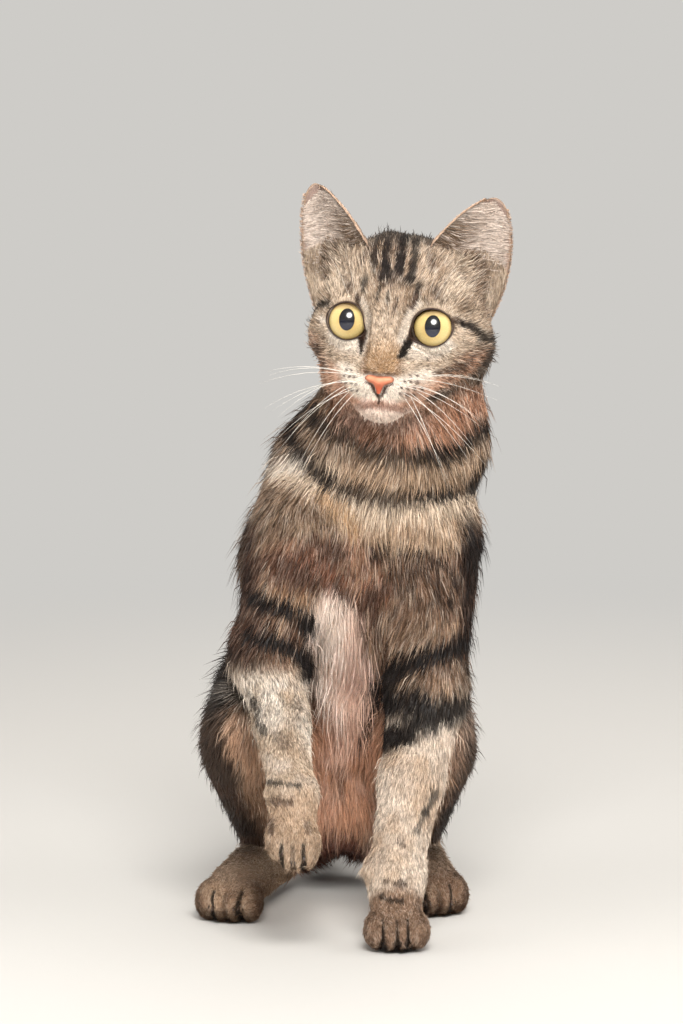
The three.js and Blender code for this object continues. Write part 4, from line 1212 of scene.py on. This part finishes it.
def arrays_of(piece):
    """The points and triangles of a mesh with its modifiers applied, back in the cat's frame."""
    found = piece.evaluated_get(bpy.context.evaluated_depsgraph_get()).to_mesh()
    found.calc_loop_triangles()
    p = np.empty(3 * len(found.vertices))
    found.vertices.foreach_get("co", p)
    t = np.empty(3 * len(found.loop_triangles), np.int32)
    found.loop_triangles.foreach_get("vertices", t)
    return p.reshape(-1, 3) * 1000 + OFFSET, t.reshape(-1, 3).astype(int)


def scratch(points, tris):
    me = bpy.data.meshes.new("scratch")
    me.from_pydata(metres(points).tolist(), [], tris.tolist())
    return show("scratch", me)


def joined(parts):
    """Several [points, tris, ...] as one, with the triangles' numbers moved on."""
    start = np.cumsum([0] + [len(p[0]) for p in parts])
    rest = [np.concatenate([p[k] for p in parts]) for k in range(2, len(parts[0]))]
    return [np.vstack([p[0] for p in parts]), np.vstack([p[1] + s for p, s in zip(parts, start)]), *rest]


# ==== The skin with its ears ====

skin_normals = corner_normals(points, tris)
body = scratch(points, tris)
for side in (1, -1):
    shell_points, shell_tris = ear_shell(side)
    flipped = shell_tris if side > 0 else shell_tris[:, ::-1]
    ear = scratch(from_head(shell_points * [side, 1, 1]), flipped)
    union_with = body.modifiers.new("ear", "BOOLEAN")
    union_with.operation, union_with.solver, union_with.object = "UNION", "EXACT", ear
    whole_points, whole_tris = arrays_of(body)
    bpy.data.objects.remove(body)
    bpy.data.objects.remove(ear)
    body = scratch(whole_points, whole_tris)
bpy.data.objects.remove(body)

EAR_IN, EAR_IN_SHADE = linear((192, 166, 154)), linear((172, 134, 122))
EAR_RIM, EAR_BACK = linear((204, 174, 150)), linear((92, 68, 52))
EAR_WIDE, EAR_TALL = 34, 50  # roughly, in mm


def ear_tone(q, inside):
    """The colour of the ears at points of the head's frame."""
    s, t, _ = ear_place(q).T
    from_side = np.minimum(s, 1 - s)
    edge = np.minimum(from_side * EAR_WIDE, (1 - t) * EAR_TALL)
    # Painted shade: the inside of the ear is darker deep in its cup, near its foot and away from its edges.
    deep = smooth(t, 0.55, 0.05) * smooth(from_side, 0.1, 0.4)
    mottled = 0.7 * smooth(noise(q, 9, 5), -0.3, 0.4) * smooth(edge, 2, 8)
    back = mix(EAR_BACK, SHADES["black"], mottled[:, None])
    tone = np.where(inside[:, None], mix(EAR_IN, EAR_IN_SHADE, deep[:, None]), back)
    return mix(tone, EAR_RIM, smooth(edge, 1.5, 0.5)[:, None])


ear_grid_s, ear_grid_t = [g.ravel() for g in np.meshgrid(np.linspace(0, 1, 31), np.linspace(-0.1, 1, 45))]
ear_trees = {}
for hand in (1, -1):
    ear_trees[hand] = KDTree(len(ear_grid_s))
    for i, v in enumerate(ear_point(hand, ear_grid_s, ear_grid_t, 0)):
        ear_trees[hand].insert(v, i)
    ear_trees[hand].balance()


def ear_place(q):
    """The nearest place on an ear for points of the head's frame, as s and t and the distance."""
    found = [ear_trees[1 if v[0] > 0 else -1].find((abs(v[0]), v[1], v[2])) for v in q]
    i = np.array([f[1] for f in found])
    return np.column_stack((ear_grid_s[i], ear_grid_t[i], [f[2] for f in found]))


whole_normals = corner_normals(whole_points, whole_tris)
_, _, _, _, share = lay_of_coat(whole_points)
skin_colour, _ = markings(whole_points, share)
q = to_head(whole_points)
of_ear = (head_flesh(q) > 0.5) & (q[:, 2] > -5) & (q[:, 1] > -12) & (np.abs(q[:, 0]) > 12) & (share[:, HEAD] > 0.3)
m = mirror(q[of_ear])
facing = (whole_normals[of_ear] @ HEAD_AXES) * np.column_stack((np.sign(q[of_ear, 0]), np.ones((of_ear.sum(), 2))))
skin_colour[of_ear] = ear_tone(q[of_ear], facing @ EAR["face"] > 0)
FLESH = [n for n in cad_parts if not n.startswith("eye") and n != "nose"]
skin = mesh_piece("skin", whole_points, whole_tris, skin_material(), "body_coat", skin_colour * 0.8)
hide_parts(*FLESH)

# ==== The nose, the eyes and the rims of the lids ====

nostril_cut = union(path(NOSTRIL, (0.5, 0.8)))
nose_parts = blend([
    [blob((0, -25.6, -25.0), (5.2, 6.0, 2.1)), 1, 0],
    [paired(blob((4.5, -26.8, -24.3), (2.5, 3.2, 1.55))), 1.6, 0],
    [bone((0, -28.6, -26), (0, -27.6, -30.2), 2.4, 1.0), 1.6, 0],
])
groove = bone((0, -33.2, -26.5), (0, -29.6, -31), 0.4, 0.6)


def nose_field(p):
    m = mirror(p)
    return smooth_cut(smooth_cut(nose_parts(m), nostril_cut(m), 0.7), groove(p), 0.8)


nose_points, nose_tris = surface(nose_field, (-9, -36, -34), (9, -18, -18), 0.42)
nose_points = settle(nose_field, nose_points, 3, 0.3)
m = mirror(nose_points)
low = smooth(nose_points[:, 2], -24, -29)
rim = smooth(nose_points[:, 2] - 0.15 * np.abs(nose_points[:, 0]), -24.2, -23.2) * 0.75
rim = np.maximum(rim, 0.6 * smooth(m[:, 0] + 0.55 * (m[:, 2] + 25), 5.6, 6.8))
nose_colour = linear((218, 142, 108))
# The leather is redder low down and dark along its top and sides, with painted shade, near black, in the nostrils.
for rgb, amount in (((196, 92, 60), low), ((88, 52, 40), rim), ((30, 16, 13), smooth(nostril_cut(m), 0.5, 0.1))):
    nose_colour = mix(nose_colour, linear(rgb), amount[:, None])
nose = mesh_piece("nose_leather", from_head(nose_points), nose_tris, leather_material(), "nose", nose_colour)
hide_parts("nose")

CAMERA = np.array([0.0, -1500.0, 305.0])
CAMERA_DOWN = 4.265  # degrees
CORNEA = 1.055  # how far the front of the eyeball stands out, times its radius
wet = eye_material()
LID_RIM_POINTS, LID_RIM_SIDES = 96, 8


def eyeball(rings=40, sectors=64):
    """A ball with a slight bulge of its cornea, which looks along z, as points and triangles."""
    theta = np.linspace(0, math.pi, rings + 1)[1:-1]
    phi = np.arange(sectors) * 2 * math.pi / sectors
    bulge = EYE_R * (1 + (CORNEA - 1) * np.exp(-((theta / 0.6) ** 2)))
    rim, depth = np.sin(theta) * bulge, np.cos(theta) * bulge
    body = np.dstack((np.outer(rim, np.cos(phi)), np.outer(rim, np.sin(phi)), np.outer(depth, np.ones(sectors))))
    ball = np.concatenate(([[0, 0, EYE_R * CORNEA]], body.reshape(-1, 3), [[0, 0, -EYE_R]]))
    i = np.arange(sectors)
    j = (i + 1) % sectors
    back = len(ball) - 1
    return ball, np.vstack((
        np.column_stack((0 * i, 1 + i, 1 + j)),
        1 + tube_tris(rings - 1, sectors)[:, ::-1],
        np.column_stack((back - sectors + i, 0 * i + back, back - sectors + j)),
    ))


def lid_rim(side, centre):
    """The rim of the lids, where they meet the eyeball, as a thin tube."""
    angle = np.arange(LID_RIM_POINTS) * 2 * math.pi / LID_RIM_POINTS
    reach = opening_at(angle, side < 0) + 0.25
    line = EYE + np.column_stack((reach * np.cos(angle), 0 * reach - 13, reach * np.sin(angle)))
    for _ in range(40):  # walk back until the skin or the eyeball is met
        gap = np.minimum(head_flesh(line), np.linalg.norm(line - EYE, axis=1) - EYE_R)
        line[:, 1] += np.maximum(gap, 0) * 0.8
    ring = from_head(line * [side, 1, 1])
    out = unit(ring - centre)
    across = np.cross(unit(np.roll(ring, -1, 0) - np.roll(ring, 1, 0)), out)
    thick = 0.22 + 0.12 * np.exp(6 * (np.cos(angle - INNER_CORNER[0]) - 1)) + 0.08 * np.maximum(0, np.sin(angle))
    turn = (np.arange(LID_RIM_SIDES) * 2 * math.pi / LID_RIM_SIDES)[:, None]
    tube = ring[:, None] + thick[:, None, None] * (np.cos(turn) * across[:, None] + np.sin(turn) * out[:, None])
    return [tube.reshape(-1, 3), tube_tris(LID_RIM_POINTS, LID_RIM_SIDES, ring=True)]


rim_parts = []
ball, ball_tris = eyeball()
# The eye's plane goes past 1 behind the middle, so that the material sees which half it is on
plane = ball[:, :2] / EYE_R
from_axis = np.minimum(1, np.linalg.norm(plane, axis=1))[:, None]
plane = np.where(ball[:, 2:] < 0, unit(plane + 1e-6) * (2 - from_axis), plane)
for side, letter, aside in ((1, "l", -0.02), (-1, "r", -0.1)):
    centre = from_head(EYE * [side, 1, 1])
    gaze = unit(unit(CAMERA - centre) + [aside, 0, 0])
    right = unit(np.cross(gaze, HEAD_AXES[:, 2]))
    turned = centre + ball @ np.array([right, np.cross(right, gaze), gaze])
    eye = mesh_piece("eyeball_" + letter, turned, ball_tris, wet, "eye", uv=plane, uv_name="EyePlane")
    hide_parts("eye_" + letter)
    rim_parts.append(lid_rim(side, centre))
lids = joined(rim_parts)
mesh_piece("lid_rims", *lids, plain_material("lid_rim", (62, 45, 37), 0.4, Specular_IOR_Level=0.4), "eye")

# ==== The coat: thin curved blades, each from its root on the skin ====

BLADES = 455000
MOST_IN_PIECE = 66000  # blades of three triangles
LINES = dict(LIMBS, trunk=SPINE[1:], neck=(NECK_TOP, NECK_BASE, WITHERS), tail=TAIL)


def unwrap(p, region):
    """A point's place on a flat map of a part: round it and along it, or out from the nose over the head."""
    if region == "head":
        d = unit(to_head(p) - SKULL_MIDDLE)
        away = np.arccos(np.clip(-d[:, 1], -1, 1)) / math.pi
        flat = unit(d[:, [0, 2]])
        return 0.5 + 0.48 * away[:, None] * flat
    line = np.array(LINES[region], float)
    best, uv, run = np.full(len(p), 1e9), np.zeros((len(p), 2)), 0.0
    for a, b in zip(line[:-1], line[1:]):
        length = np.linalg.norm(b - a)
        off = onto(p, a, b)[1]
        r = np.linalg.norm(off, axis=1)
        z = (b - a) / length
        x = unit(np.cross(z, [1, 0.13, 0.05]))
        turn = np.arctan2(off @ np.cross(z, x), off @ x) / (2 * math.pi) + 0.5
        place = np.column_stack((turn, run + np.clip((p - a) @ z, -0.5 * length, 1.5 * length)))
        uv = np.where((r < best)[:, None], place, uv)
        best = np.minimum(best, r)
        run += length
    return np.column_stack((0.01 + 0.98 * uv[:, 0], 0.1 + 0.8 * uv[:, 1] / run))


def scatter(points, tris, weight, count):
    """Random places on the triangles, in proportion to their area times a weight for each triangle."""
    a, b, c = points[tris[:, 0]], points[tris[:, 1]], points[tris[:, 2]]
    area = np.linalg.norm(np.cross(b - a, c - a), axis=1) / 2 * weight
    pick = np.searchsorted(np.cumsum(area), rng.random(count) * area.sum())
    u, v = rng.random((2, count))
    u, v = np.where(u + v > 1, 1 - u, u), np.where(u + v > 1, 1 - v, v)
    return pick, np.column_stack((1 - u - v, u, v))


def locks(p, size):
    """The middle of the lock that each root belongs to, and a repeatable number for it."""
    cell = np.floor(p / size + 500)
    best, middle, number = np.full(len(p), 1e9), np.zeros_like(p), np.zeros(len(p))
    for step in np.ndindex(3, 3, 3):
        c = cell + np.array(step) - 1
        jitter = np.column_stack([lattice(c + k * 37) for k in range(3)])
        at = (c + jitter - 500) * size
        d = ((p - at) ** 2).sum(1)
        nearer = d < best
        best = np.where(nearer, d, best)
        middle = np.where(nearer[:, None], at, middle)
        number = np.where(nearer, lattice(c + 11), number)
    return middle, number


def rotate_about(v, axis, angle):
    """Turns vectors that are at right angles to their unit axes."""
    return v * np.cos(angle)[:, None] + np.cross(axis, v) * np.sin(angle)[:, None]


PALE_TICK = linear((232, 220, 204))
PULL = 0.3  # how far the tips of a lock's hairs go to its middle
GUARD_SHARE, GUARD_LONGER = 0.03, 1.45  # the few long guard hairs
DARK_TIP_SHARE = 0.22


def blades(root, normal, lie, length, angle, width, colour, uv, lock, tick, grain=1.0):
    """Blades of three triangles and five points: [points, tris, colours, places on the map]."""
    n = len(root)
    lie = unit(lie - (lie * normal).sum(1, keepdims=True) * normal)
    middle, number = locks(root, lock)
    swirl = (0.22 + 0.25 * smooth(length, 6, 12)) * noise(root, 15, 6) + 0.2 * (number - 0.5) + rng.normal(0, 0.11, n)
    lie = rotate_about(lie, normal, swirl)
    length = length * rng.uniform(0.72, 1.12, n)
    guard = rng.random(n) < GUARD_SHARE
    length = np.where(guard, length * GUARD_LONGER, length)
    angle = np.radians(angle) * rng.uniform(0.75, 1.25, n) * np.where(guard, 1.35, 1)
    toward = middle - root
    toward -= (toward * normal).sum(1, keepdims=True) * normal
    toward *= np.clip(length / 11, 0, 1)[:, None] ** 1.5
    half = length[:, None] / 2
    a0, a1 = 1.3 * angle[:, None], 0.35 * angle[:, None]
    mid = root + half * (lie * np.cos(a0) + normal * np.sin(a0)) + toward * PULL * 0.35
    tip = mid + half * (lie * np.cos(a1) + normal * np.sin(a1)) + toward * PULL * 0.65
    along = unit(tip - root)
    side = unit(np.cross(along, normal))
    side = rotate_about(side, along, rng.normal(0, 0.6, n))
    wide = (width * rng.uniform(0.75, 1.25, n) / 2)[:, None]
    verts = np.stack((root - side * wide * 0.8, root + side * wide * 0.8, mid - side * wide, mid + side * wide, tip), 1)
    verts[:, :, 2] = np.maximum(verts[:, :, 2], SOLE + 0.05)
    fleck = 0.36 * noise(root, 1.6 * grain, 8) + 0.3 * noise(root, 3.4 * grain, 9)
    level = tick * (0.3 * rng.normal(0, 1, n) + fleck)
    lighter = (1 - np.exp(-0.9 * np.maximum(level, 0)))[:, None] * smooth(colour.mean(1, keepdims=True), 0.012, 0.12)
    darker = np.exp(1.25 * np.minimum(level, 0) + 0.16 * (number - 0.5))[:, None]
    shade = (colour + (PALE_TICK - colour) * lighter * 0.8) * darker
    dark_tip = rng.random(n) < DARK_TIP_SHARE * tick
    end = np.where(dark_tip, 0.3, 1.12)[:, None]
    belt = np.where(dark_tip, 0.8, 1.0)[:, None]
    # The roots are darker: partly the greyer undercoat and partly painted shade deep in the coat, less so where the
    # hair is short.
    deep = colour * (0.5 + 0.32 * smooth(length, 6, 2))[:, None]
    colours = np.stack((deep, deep, shade * belt, shade * belt, shade * end), 1)
    patch = np.array([(-1, -1), (1, -1), (-1, 0.3), (1, 0.3), (0, 1)]) * 0.0015
    places = uv[:, None] + patch
    tris = np.array([(0, 1, 3), (0, 3, 2), (2, 3, 4)]) + 5 * np.arange(n)[:, None, None]
    return [verts.reshape(-1, 3), tris.reshape(-1, 3), np.clip(colours, 0, 1).reshape(-1, 3), places.reshape(-1, 2)]


COATS = {
    "head": coat_material("coat_short", 0.6),
    "body": coat_material("coat_long", 0.5),
}
middles = points[tris].mean(1)
_, _, _, dense, share = lay_of_coat(middles)
dense = dense * (1 + 1.1 * smooth(to_head(middles)[:, 1], 16, 0) * share[:, HEAD])
pick, weights = scatter(points, tris, dense, BLADES)
root = (points[tris[pick]] * weights[:, :, None]).sum(1)
normal = unit((skin_normals[tris[pick]] * weights[:, :, None]).sum(1))

# No hair on the lids, the lips, the nose and the soles, or where an ear meets the head
q = to_head(root)
m = mirror(q)
on_head = share[pick, HEAD] > 0.5
bare = on_head & (lid_edge(q) < 0.7) & (q[:, 1] < 2) & (m[:, 0] < 33)
bare |= on_head & ((mouth_line(m) < 0.35) | (nose_parts(m) < 0.5) | (tear_line(m) < 0.3))
bare |= (root[:, 2] < SOLE + 0.5) & (normal[:, 2] < -0.7)
high = np.nonzero(on_head & (q[:, 2] > 18) & (m[:, 0] > 10))[0]
bare[high] |= ear_place(q[high])[:, 2] < 1.6
root, normal, q = root[~bare], normal[~bare], q[~bare]

# The length, angle and lie of each hair
lie, hair, angle, _, share = lay_of_coat(root)
head_part = share[:, HEAD]
x, y, z = root.T
along, back = spine_place(root)
front = smooth(back, 0.0, -0.5)
from_nose = np.linalg.norm(q - [0, -30, -22], axis=1)
face_hair = np.clip(1.5 + 0.085 * (from_nose - 9), 1.3, 8.5) * (0.45 + 0.55 * smooth(lid_edge(q), 0.5, 7))
face_hair *= 1 + 0.9 * smooth(from_nose, 50, 78) * smooth(q[:, 2], 5, -20)  # jowls
face_hair *= 1 + 1.3 * smooth(q[:, 2], -39, -44) * smooth(q[:, 1], 4, -4)  # chin
face_hair *= 1 + 0.6 * smooth(q[:, 2], 34, 38) * smooth(np.abs(q[:, 0] + 10), 12, 4)  # crown
hair = mix(hair, face_hair, head_part)
ruff = front * smooth(np.abs(x - 8), 26, 8) * smooth(z, 75, 95) * smooth(z, 170, 140) * share[:, TRUNK]
in_hollow = smooth(hollow(root), 6, 2) * smooth(z, 34, 26)
belly_wisps = smooth(np.abs(z - 38), 8, 4) * smooth(np.abs(x + 1), 22, 14) * smooth(y, 34, 20)
hair = hair * (1 + 0.75 * ruff) * (1 - 0.5 * in_hollow) * (1 + 0.7 * belly_wisps)
angle = angle + 9 * head_part * smooth(from_nose, 34, 60) * smooth(q[:, 2], 2, -18)
on_body = share[:, TRUNK] + share[:, NECK]
lie = unit(lie + (flow_chest(root) - lie * 0.2) * (front * on_body * smooth(z, 60, 110))[:, None])
width = 0.22 + 0.012 * np.minimum(hair, 13)

# Each hair takes the colour of the coat's surface about halfway along it
lie_flat = unit(lie - (lie * normal).sum(1, keepdims=True) * normal)
pattern_at = root + lie_flat * (hair * rng.normal(0.55, 0.13, len(hair)))[:, None]
pattern_at += np.cross(lie_flat, normal) * (0.04 * hair * rng.normal(0, 1, len(hair)))[:, None]
colour, tick = markings(pattern_at, share)
# Painted shade: hairs in the gaps between the toes are darkened, more so near the floor.
gap, zone = toe_gaps(root)
low = 0.9 * smooth(z, 9, 4)
colour *= 1 - (0.9 * smooth(gap, 1.2 + low, 0.5 + 0.5 * low) * smooth(zone, 0.0, 0.6))[:, None]

region = share.argmax(1)
for r, name in enumerate(REGIONS):
    chosen = region == r
    parts = {name: chosen}
    if name == "trunk":
        parts = {"chest": chosen & (back < -0.1), "flank_l": chosen & (back >= -0.1) & (x >= 2),
                 "flank_r": chosen & (back >= -0.1) & (x < 2)}
    if name == "head":
        parts = {"face": chosen & (q[:, 1] < 8), "head_back": chosen & (q[:, 1] >= 8)}
        kind, slot, lock, grain = "head", "face_coat", 2.2, 0 * hair + 0.6
    else:
        slot = "leg_coat" if name[:3] in ("arm", "leg") else "body_coat"
        kind, lock, grain = "body", 3.6, np.clip(hair / 8, 0.55, 1)
    for part, rows in parts.items():
        rows = np.nonzero(rows)[0]
        for k in range(0, len(rows), MOST_IN_PIECE):
            some = rows[k : k + MOST_IN_PIECE]
            given = [values[some] for values in (root, normal, lie, hair, angle, width, colour)]
            verts, faces, tones, places = blades(*given, unwrap(root[some], name), lock, tick[some], grain[some, None])
            label = "coat_" + part + (f"_{k // MOST_IN_PIECE + 1}" if len(rows) > MOST_IN_PIECE else "")
            mesh_piece(label, verts, faces, COATS[kind], slot, tones, places, flat=True)

# The ears' coat: number of hairs, their length, the angle they stand at, side of the ear, ticking, place on the map
EAR_COAT = {
    "front": (8500, 11, 10, 1, 0.3, 0.5),  # long and pale
    "flap": (3800, 6, 13, 1, 1.2, 0.74),  # ticked, low on the outer flap
    "back": (9000, 3.2, 18, -1, 1.2, 0.02),
    "rim": (1500, 1.8, 30, 1, 0.3, 0.26),
}


def ear_coat(hand, kind, count, hair, stand, side, ticked, map_at):
    """The blades of one kind of hair on an ear."""
    s, t, level = rng.random(count), 1 - np.sqrt(rng.random(count)), side
    if kind == "front":
        s = rng.random(count) ** 1.7 * 0.9
        t = rng.random(count) ** 1.2 * 0.86
    elif kind == "flap":
        s = 1 - rng.random(count) ** 1.3 * 0.42
        t = rng.random(count) ** 1.5 * 0.5 - 0.06
    elif kind == "rim":
        s = np.where(rng.random(count) < 0.5, 0.0, 1.0)
        t = rng.random(count)
        level = rng.choice([-0.9, 0.9], count)
    p = ear_point(hand, s, t, level)
    e = 0.02
    ds = unit(ear_point(hand, np.clip(s + e, 0, 1), t, level) - ear_point(hand, np.clip(s - e, 0, 1), t, level))
    dt = unit(ear_point(hand, s, np.clip(t + e, -1, 1), level) - ear_point(hand, s, np.clip(t - e, -1, 1), level))
    up = unit(np.cross(dt, ds))
    up *= np.sign((up @ EAR["face"])[:, None] * side + 1e-9)
    if kind == "front":
        way = ds * 0.85 + dt * 0.5
        length = hair * (1.3 - 0.6 * t) * np.clip(1.2 - s, 0.35, 1)
        brown = smooth(s, 0.34, 0.08) * smooth(t, 0.62, 0.25) * smooth(rng.random(count), 0.15, 0.5)
        tone = mix(linear((218, 202, 190)), SHADES["grey"] * 0.8, brown[:, None])
    elif kind == "flap":
        way = dt - 0.25 * ds
        length = hair * (1 - 0.6 * np.clip(t, 0, 1))
        tone = mix(SHADES["grey"], SHADES["cream"], (0.5 + 0.4 * noise(p, 5, 21))[:, None])
    elif kind == "back":
        way = dt + 0.2 * ds
        length = hair * (0.2 + 0.8 * smooth(t, 1.0, 0.86))
        tone = ear_tone(p * [hand, 1, 1], np.zeros(count, bool))
    else:
        up = np.where(s > 0, 1, -1)[:, None] * ds
        way = dt + 0.35 * up
        length = np.full(count, hair)
        tone = np.broadcast_to(EAR_RIM, p.shape)
    p, up, way = [v * [hand, 1, 1] for v in (p, up, way)]
    places = np.column_stack((map_at + 0.22 * s, (0.02 if hand > 0 else 0.52) + 0.45 * np.clip(t, 0, 1)))
    width = np.full(count, 0.26 if kind == "front" else 0.3)
    return blades(from_head(p), up @ HEAD_AXES.T, way @ HEAD_AXES.T, length, np.full(count, stand), width, tone, places,
                  3.0, np.full(count, ticked))


ear_parts = []
for hand in (1, -1):
    for kind, (count, *rest) in EAR_COAT.items():
        ear_parts.append(ear_coat(hand, kind, count // (1), *rest))
verts, faces, tones, places = joined(ear_parts)
mesh_piece("coat_ears", verts, faces, COATS["head"], "ear", tones, places, flat=True)

# ==== Whiskers and claws ====


def thread(points3, radius, sides=5):
    """A thin round hair through points, from its full radius down to a fine tip."""
    c = np.array(points3, float)
    n = len(c)
    along = unit(np.gradient(c, axis=0))
    x = unit(np.cross(along, [0.1, 0.2, 1]))
    y = np.cross(along, x)
    r = radius * (1 - 0.88 * np.linspace(0, 1, n) ** 1.3)
    turn = np.arange(sides) * 2 * math.pi / sides
    ring = c[:, None] + r[:, None, None] * (np.cos(turn)[:, None] * x[:, None] + np.sin(turn)[:, None] * y[:, None])
    verts = np.vstack((ring.reshape(-1, 3), c[:1], c[-1:]))
    i = np.arange(sides)
    j, last = (i + 1) % sides, (n - 1) * sides
    root_cap = np.column_stack((j, i, 0 * i + n * sides))
    tip_cap = np.column_stack((i + last, j + last, 0 * i + n * sides + 1))
    return [verts, np.vstack((tube_tris(n, sides), root_cap, tip_cap))]


WHISKER_THICK, BROW_HAIR_THICK, CLAW_THICK, CLAW_LONG = 0.125, 0.06, 0.8, 3.0
# Rows of whiskers: height, rise in degrees, distance of the first one from the middle, number of them
WHISKER_ROWS = [(-23.5, 12, 11, 3), (-26.5, -4, 10, 3), (-29.5, -22, 10.5, 3), (-31.5, -44, 11, 2)]
whiskers = []
for side in (1, -1):
    for row, (z0, rise, first, count) in enumerate(WHISKER_ROWS):
        for column in range(count):
            start = np.array([(first + 2.9 * column), -27.0, z0 + 0.3 * column])
            for _ in range(30):  # walk back to the skin
                start[1] += max(0.0, float(head_flesh(start[None])[0])) * 0.9
            size = rng.uniform(0.85, 1.05) * (52 - 4 * column - 3 * row)
            lift = math.radians(rise + rng.uniform(-6, 6))
            out = math.radians(62 - 6 * column + rng.uniform(-6, 6))
            way = np.array([math.sin(out) * math.cos(lift), -math.cos(out) * math.cos(lift), math.sin(lift)])
            t = np.linspace(0, 1, 12)[:, None]
            bend = np.array([0.02, 0.5, -0.26 - 0.05 * row]) * size
            line = start + way * size * t + bend * t**2
            whiskers.append(thread(from_head(line * [side, 1, 1]), WHISKER_THICK))
    for k in range(2):  # over the brow
        start = np.array([17 + 3.5 * k, -8.0, 13.5])
        t = np.linspace(0, 1, 8)[:, None]
        line = start + np.array([4 + 4 * k, -6, 24 - 3 * k]) * t + np.array([3, 9, -4]) * t**2
        whiskers.append(thread(from_head(line * [side, 1, 1]), BROW_HAIR_THICK))
hair_white = plain_material("whisker", (238, 232, 222), 0.35, vary=0.05, Specular_IOR_Level=0.5)
mesh_piece("whiskers", *joined(whiskers), hair_white, "whisker")

# The claws of each paw: its toes as for the skin, how far out they start, the way they point and each one's shift
# to the side
claws = []
for *toes_given, out, way, shifts in (
    (TOES_L, [5.7, 0, 0], [0, -5, 0], (0.4, 0.4), 8.8, (0, -1, -0.35), (2.4, 1, -1, -2.4)),
    (TOES_R, [4.3, 0, 0], [0, 1, -2.4], (-0.9, 0.3), 7.0, (0, -0.75, -0.65), (1.6, 1.4, -1.4, -1.6)),
    (HIND_TOES_R, [6.3, -2, 0], [-1.5, -5, 0], (0.4, 0.4), 11.8, (-0.2, -1, -0.1), (2.4, -1.2, 2.6, -2.6)),
    (HIND_TOES_L, [6.3, 2, 0], [1.5, -5, 0], (0.4, 0.4), 11.8, (0.2, -1, -0.1), (2.6, -2.6, 1.2, -2.4)),
):
    way = unit(way)
    for shift, middle in zip(shifts, toe_places(*toes_given)):
        start = middle + way * out * 0.84 + np.array([shift, 0, out * 0.1])
        t = np.linspace(0, 1, 5)[:, None]
        claws.append(thread(start + way * CLAW_LONG * t + np.array([0, 0, -1.2]) * t**2, CLAW_THICK, 7))
mesh_piece("claws", *joined(claws), plain_material("claw_horn", (70, 54, 46), 0.2, Specular_IOR_Level=0.6), "claw")

# ==== The floor, the lights and the camera ====

PALE = rgba((206, 204, 200))
FLOOR_HALF = 40.0  # metres
n = new_material("floor_pale")
ray = n.add("LightPath").outputs["Is Camera Ray"]
distance = n.add("VectorMath", {0: n.add("TexCoord").outputs["Object"]}, operation="LENGTH").outputs["Value"]
far = n.ramp(distance, 0.45, 1.7, 0.0, 1.0, interpolation_type="SMOOTHSTEP")
soft = n.add("BsdfDiffuse", {"Color": PALE})
glow = n.add("Emission", {"Color": PALE, "Strength": 1.0})
both = n.add("MixShader", {0: n.math("MULTIPLY", ray, far), 1: soft.outputs[0], 2: glow.outputs[0]})
n.add("OutputMaterial", {"Surface": both.outputs[0]})
floor_mesh = bpy.data.meshes.new("floor")
corners = [(x * FLOOR_HALF, y * FLOOR_HALF, 0) for x, y in ((-1, -1), (1, -1), (1, 1), (-1, 1))]
floor_mesh.from_pydata(corners, [], [(0, 1, 2, 3)])
floor_mesh.materials.append(n.owner)
floor = show("floor", floor_mesh)

bpy.context.scene.world = bpy.data.worlds.new("studio")
n = Nodes(bpy.context.scene.world)
rays = n.add("LightPath").outputs
shown = rays["Is Camera Ray"]
for kind in ("Is Glossy Ray", "Is Transmission Ray"):
    shown = n.math("MAXIMUM", shown, rays[kind])
room = n.add("Background", {0: (1.0, 0.97, 0.94, 1), 1: 0.36})
seen = n.add("Background", {0: PALE, 1: 1.0})
both = n.add("MixShader", {0: shown, 1: room.outputs[0], 2: seen.outputs[0]})
n.add("OutputWorld", {0: both.outputs[0]})


def lamp(name, place, aim, size, power, tint=(1, 1, 1), disk=False, gloss=True):
    """A soft area light at a place in the cat's frame, aimed at another."""
    data = bpy.data.lights.new(name, "AREA")
    data.shape = "DISK" if disk else "SQUARE"
    data.size, data.energy, data.color = size, power, tint
    ob = show(name, data)
    place, aim = metres(place), metres(aim)
    ob.location = place
    ob.rotation_euler = Vector(aim - place).to_track_quat("-Z", "Y").to_euler()
    ob.visible_glossy = gloss


MIDDLE = (5, 0, 190)
lamp("key", (120, -1300, 1150), MIDDLE, 0.84, 38, (1, 0.98, 0.95), disk=True)
lamp("left_box", (-1500, -500, 900), MIDDLE, 1.2, 9, (1, 0.97, 0.93), gloss=False)
lamp("right_box", (1500, -300, 900), MIDDLE, 1.2, 9, (1, 0.96, 0.92), gloss=False)
lamp("back_box", (200, 1500, 1300), MIDDLE, 1.4, 14, (1, 0.97, 0.94), gloss=False)

camera_data = bpy.data.cameras.new("camera")
camera_data.lens, camera_data.sensor_width = 112.2, 36
camera_data.clip_start, camera_data.clip_end = 0.05, 200
camera = show("camera", camera_data)
camera.location = metres(CAMERA)
camera.rotation_euler = (math.radians(90 - CAMERA_DOWN), 0, 0)
bpy.context.scene.camera = camera
bpy.context.scene.view_settings.view_transform = "Standard"
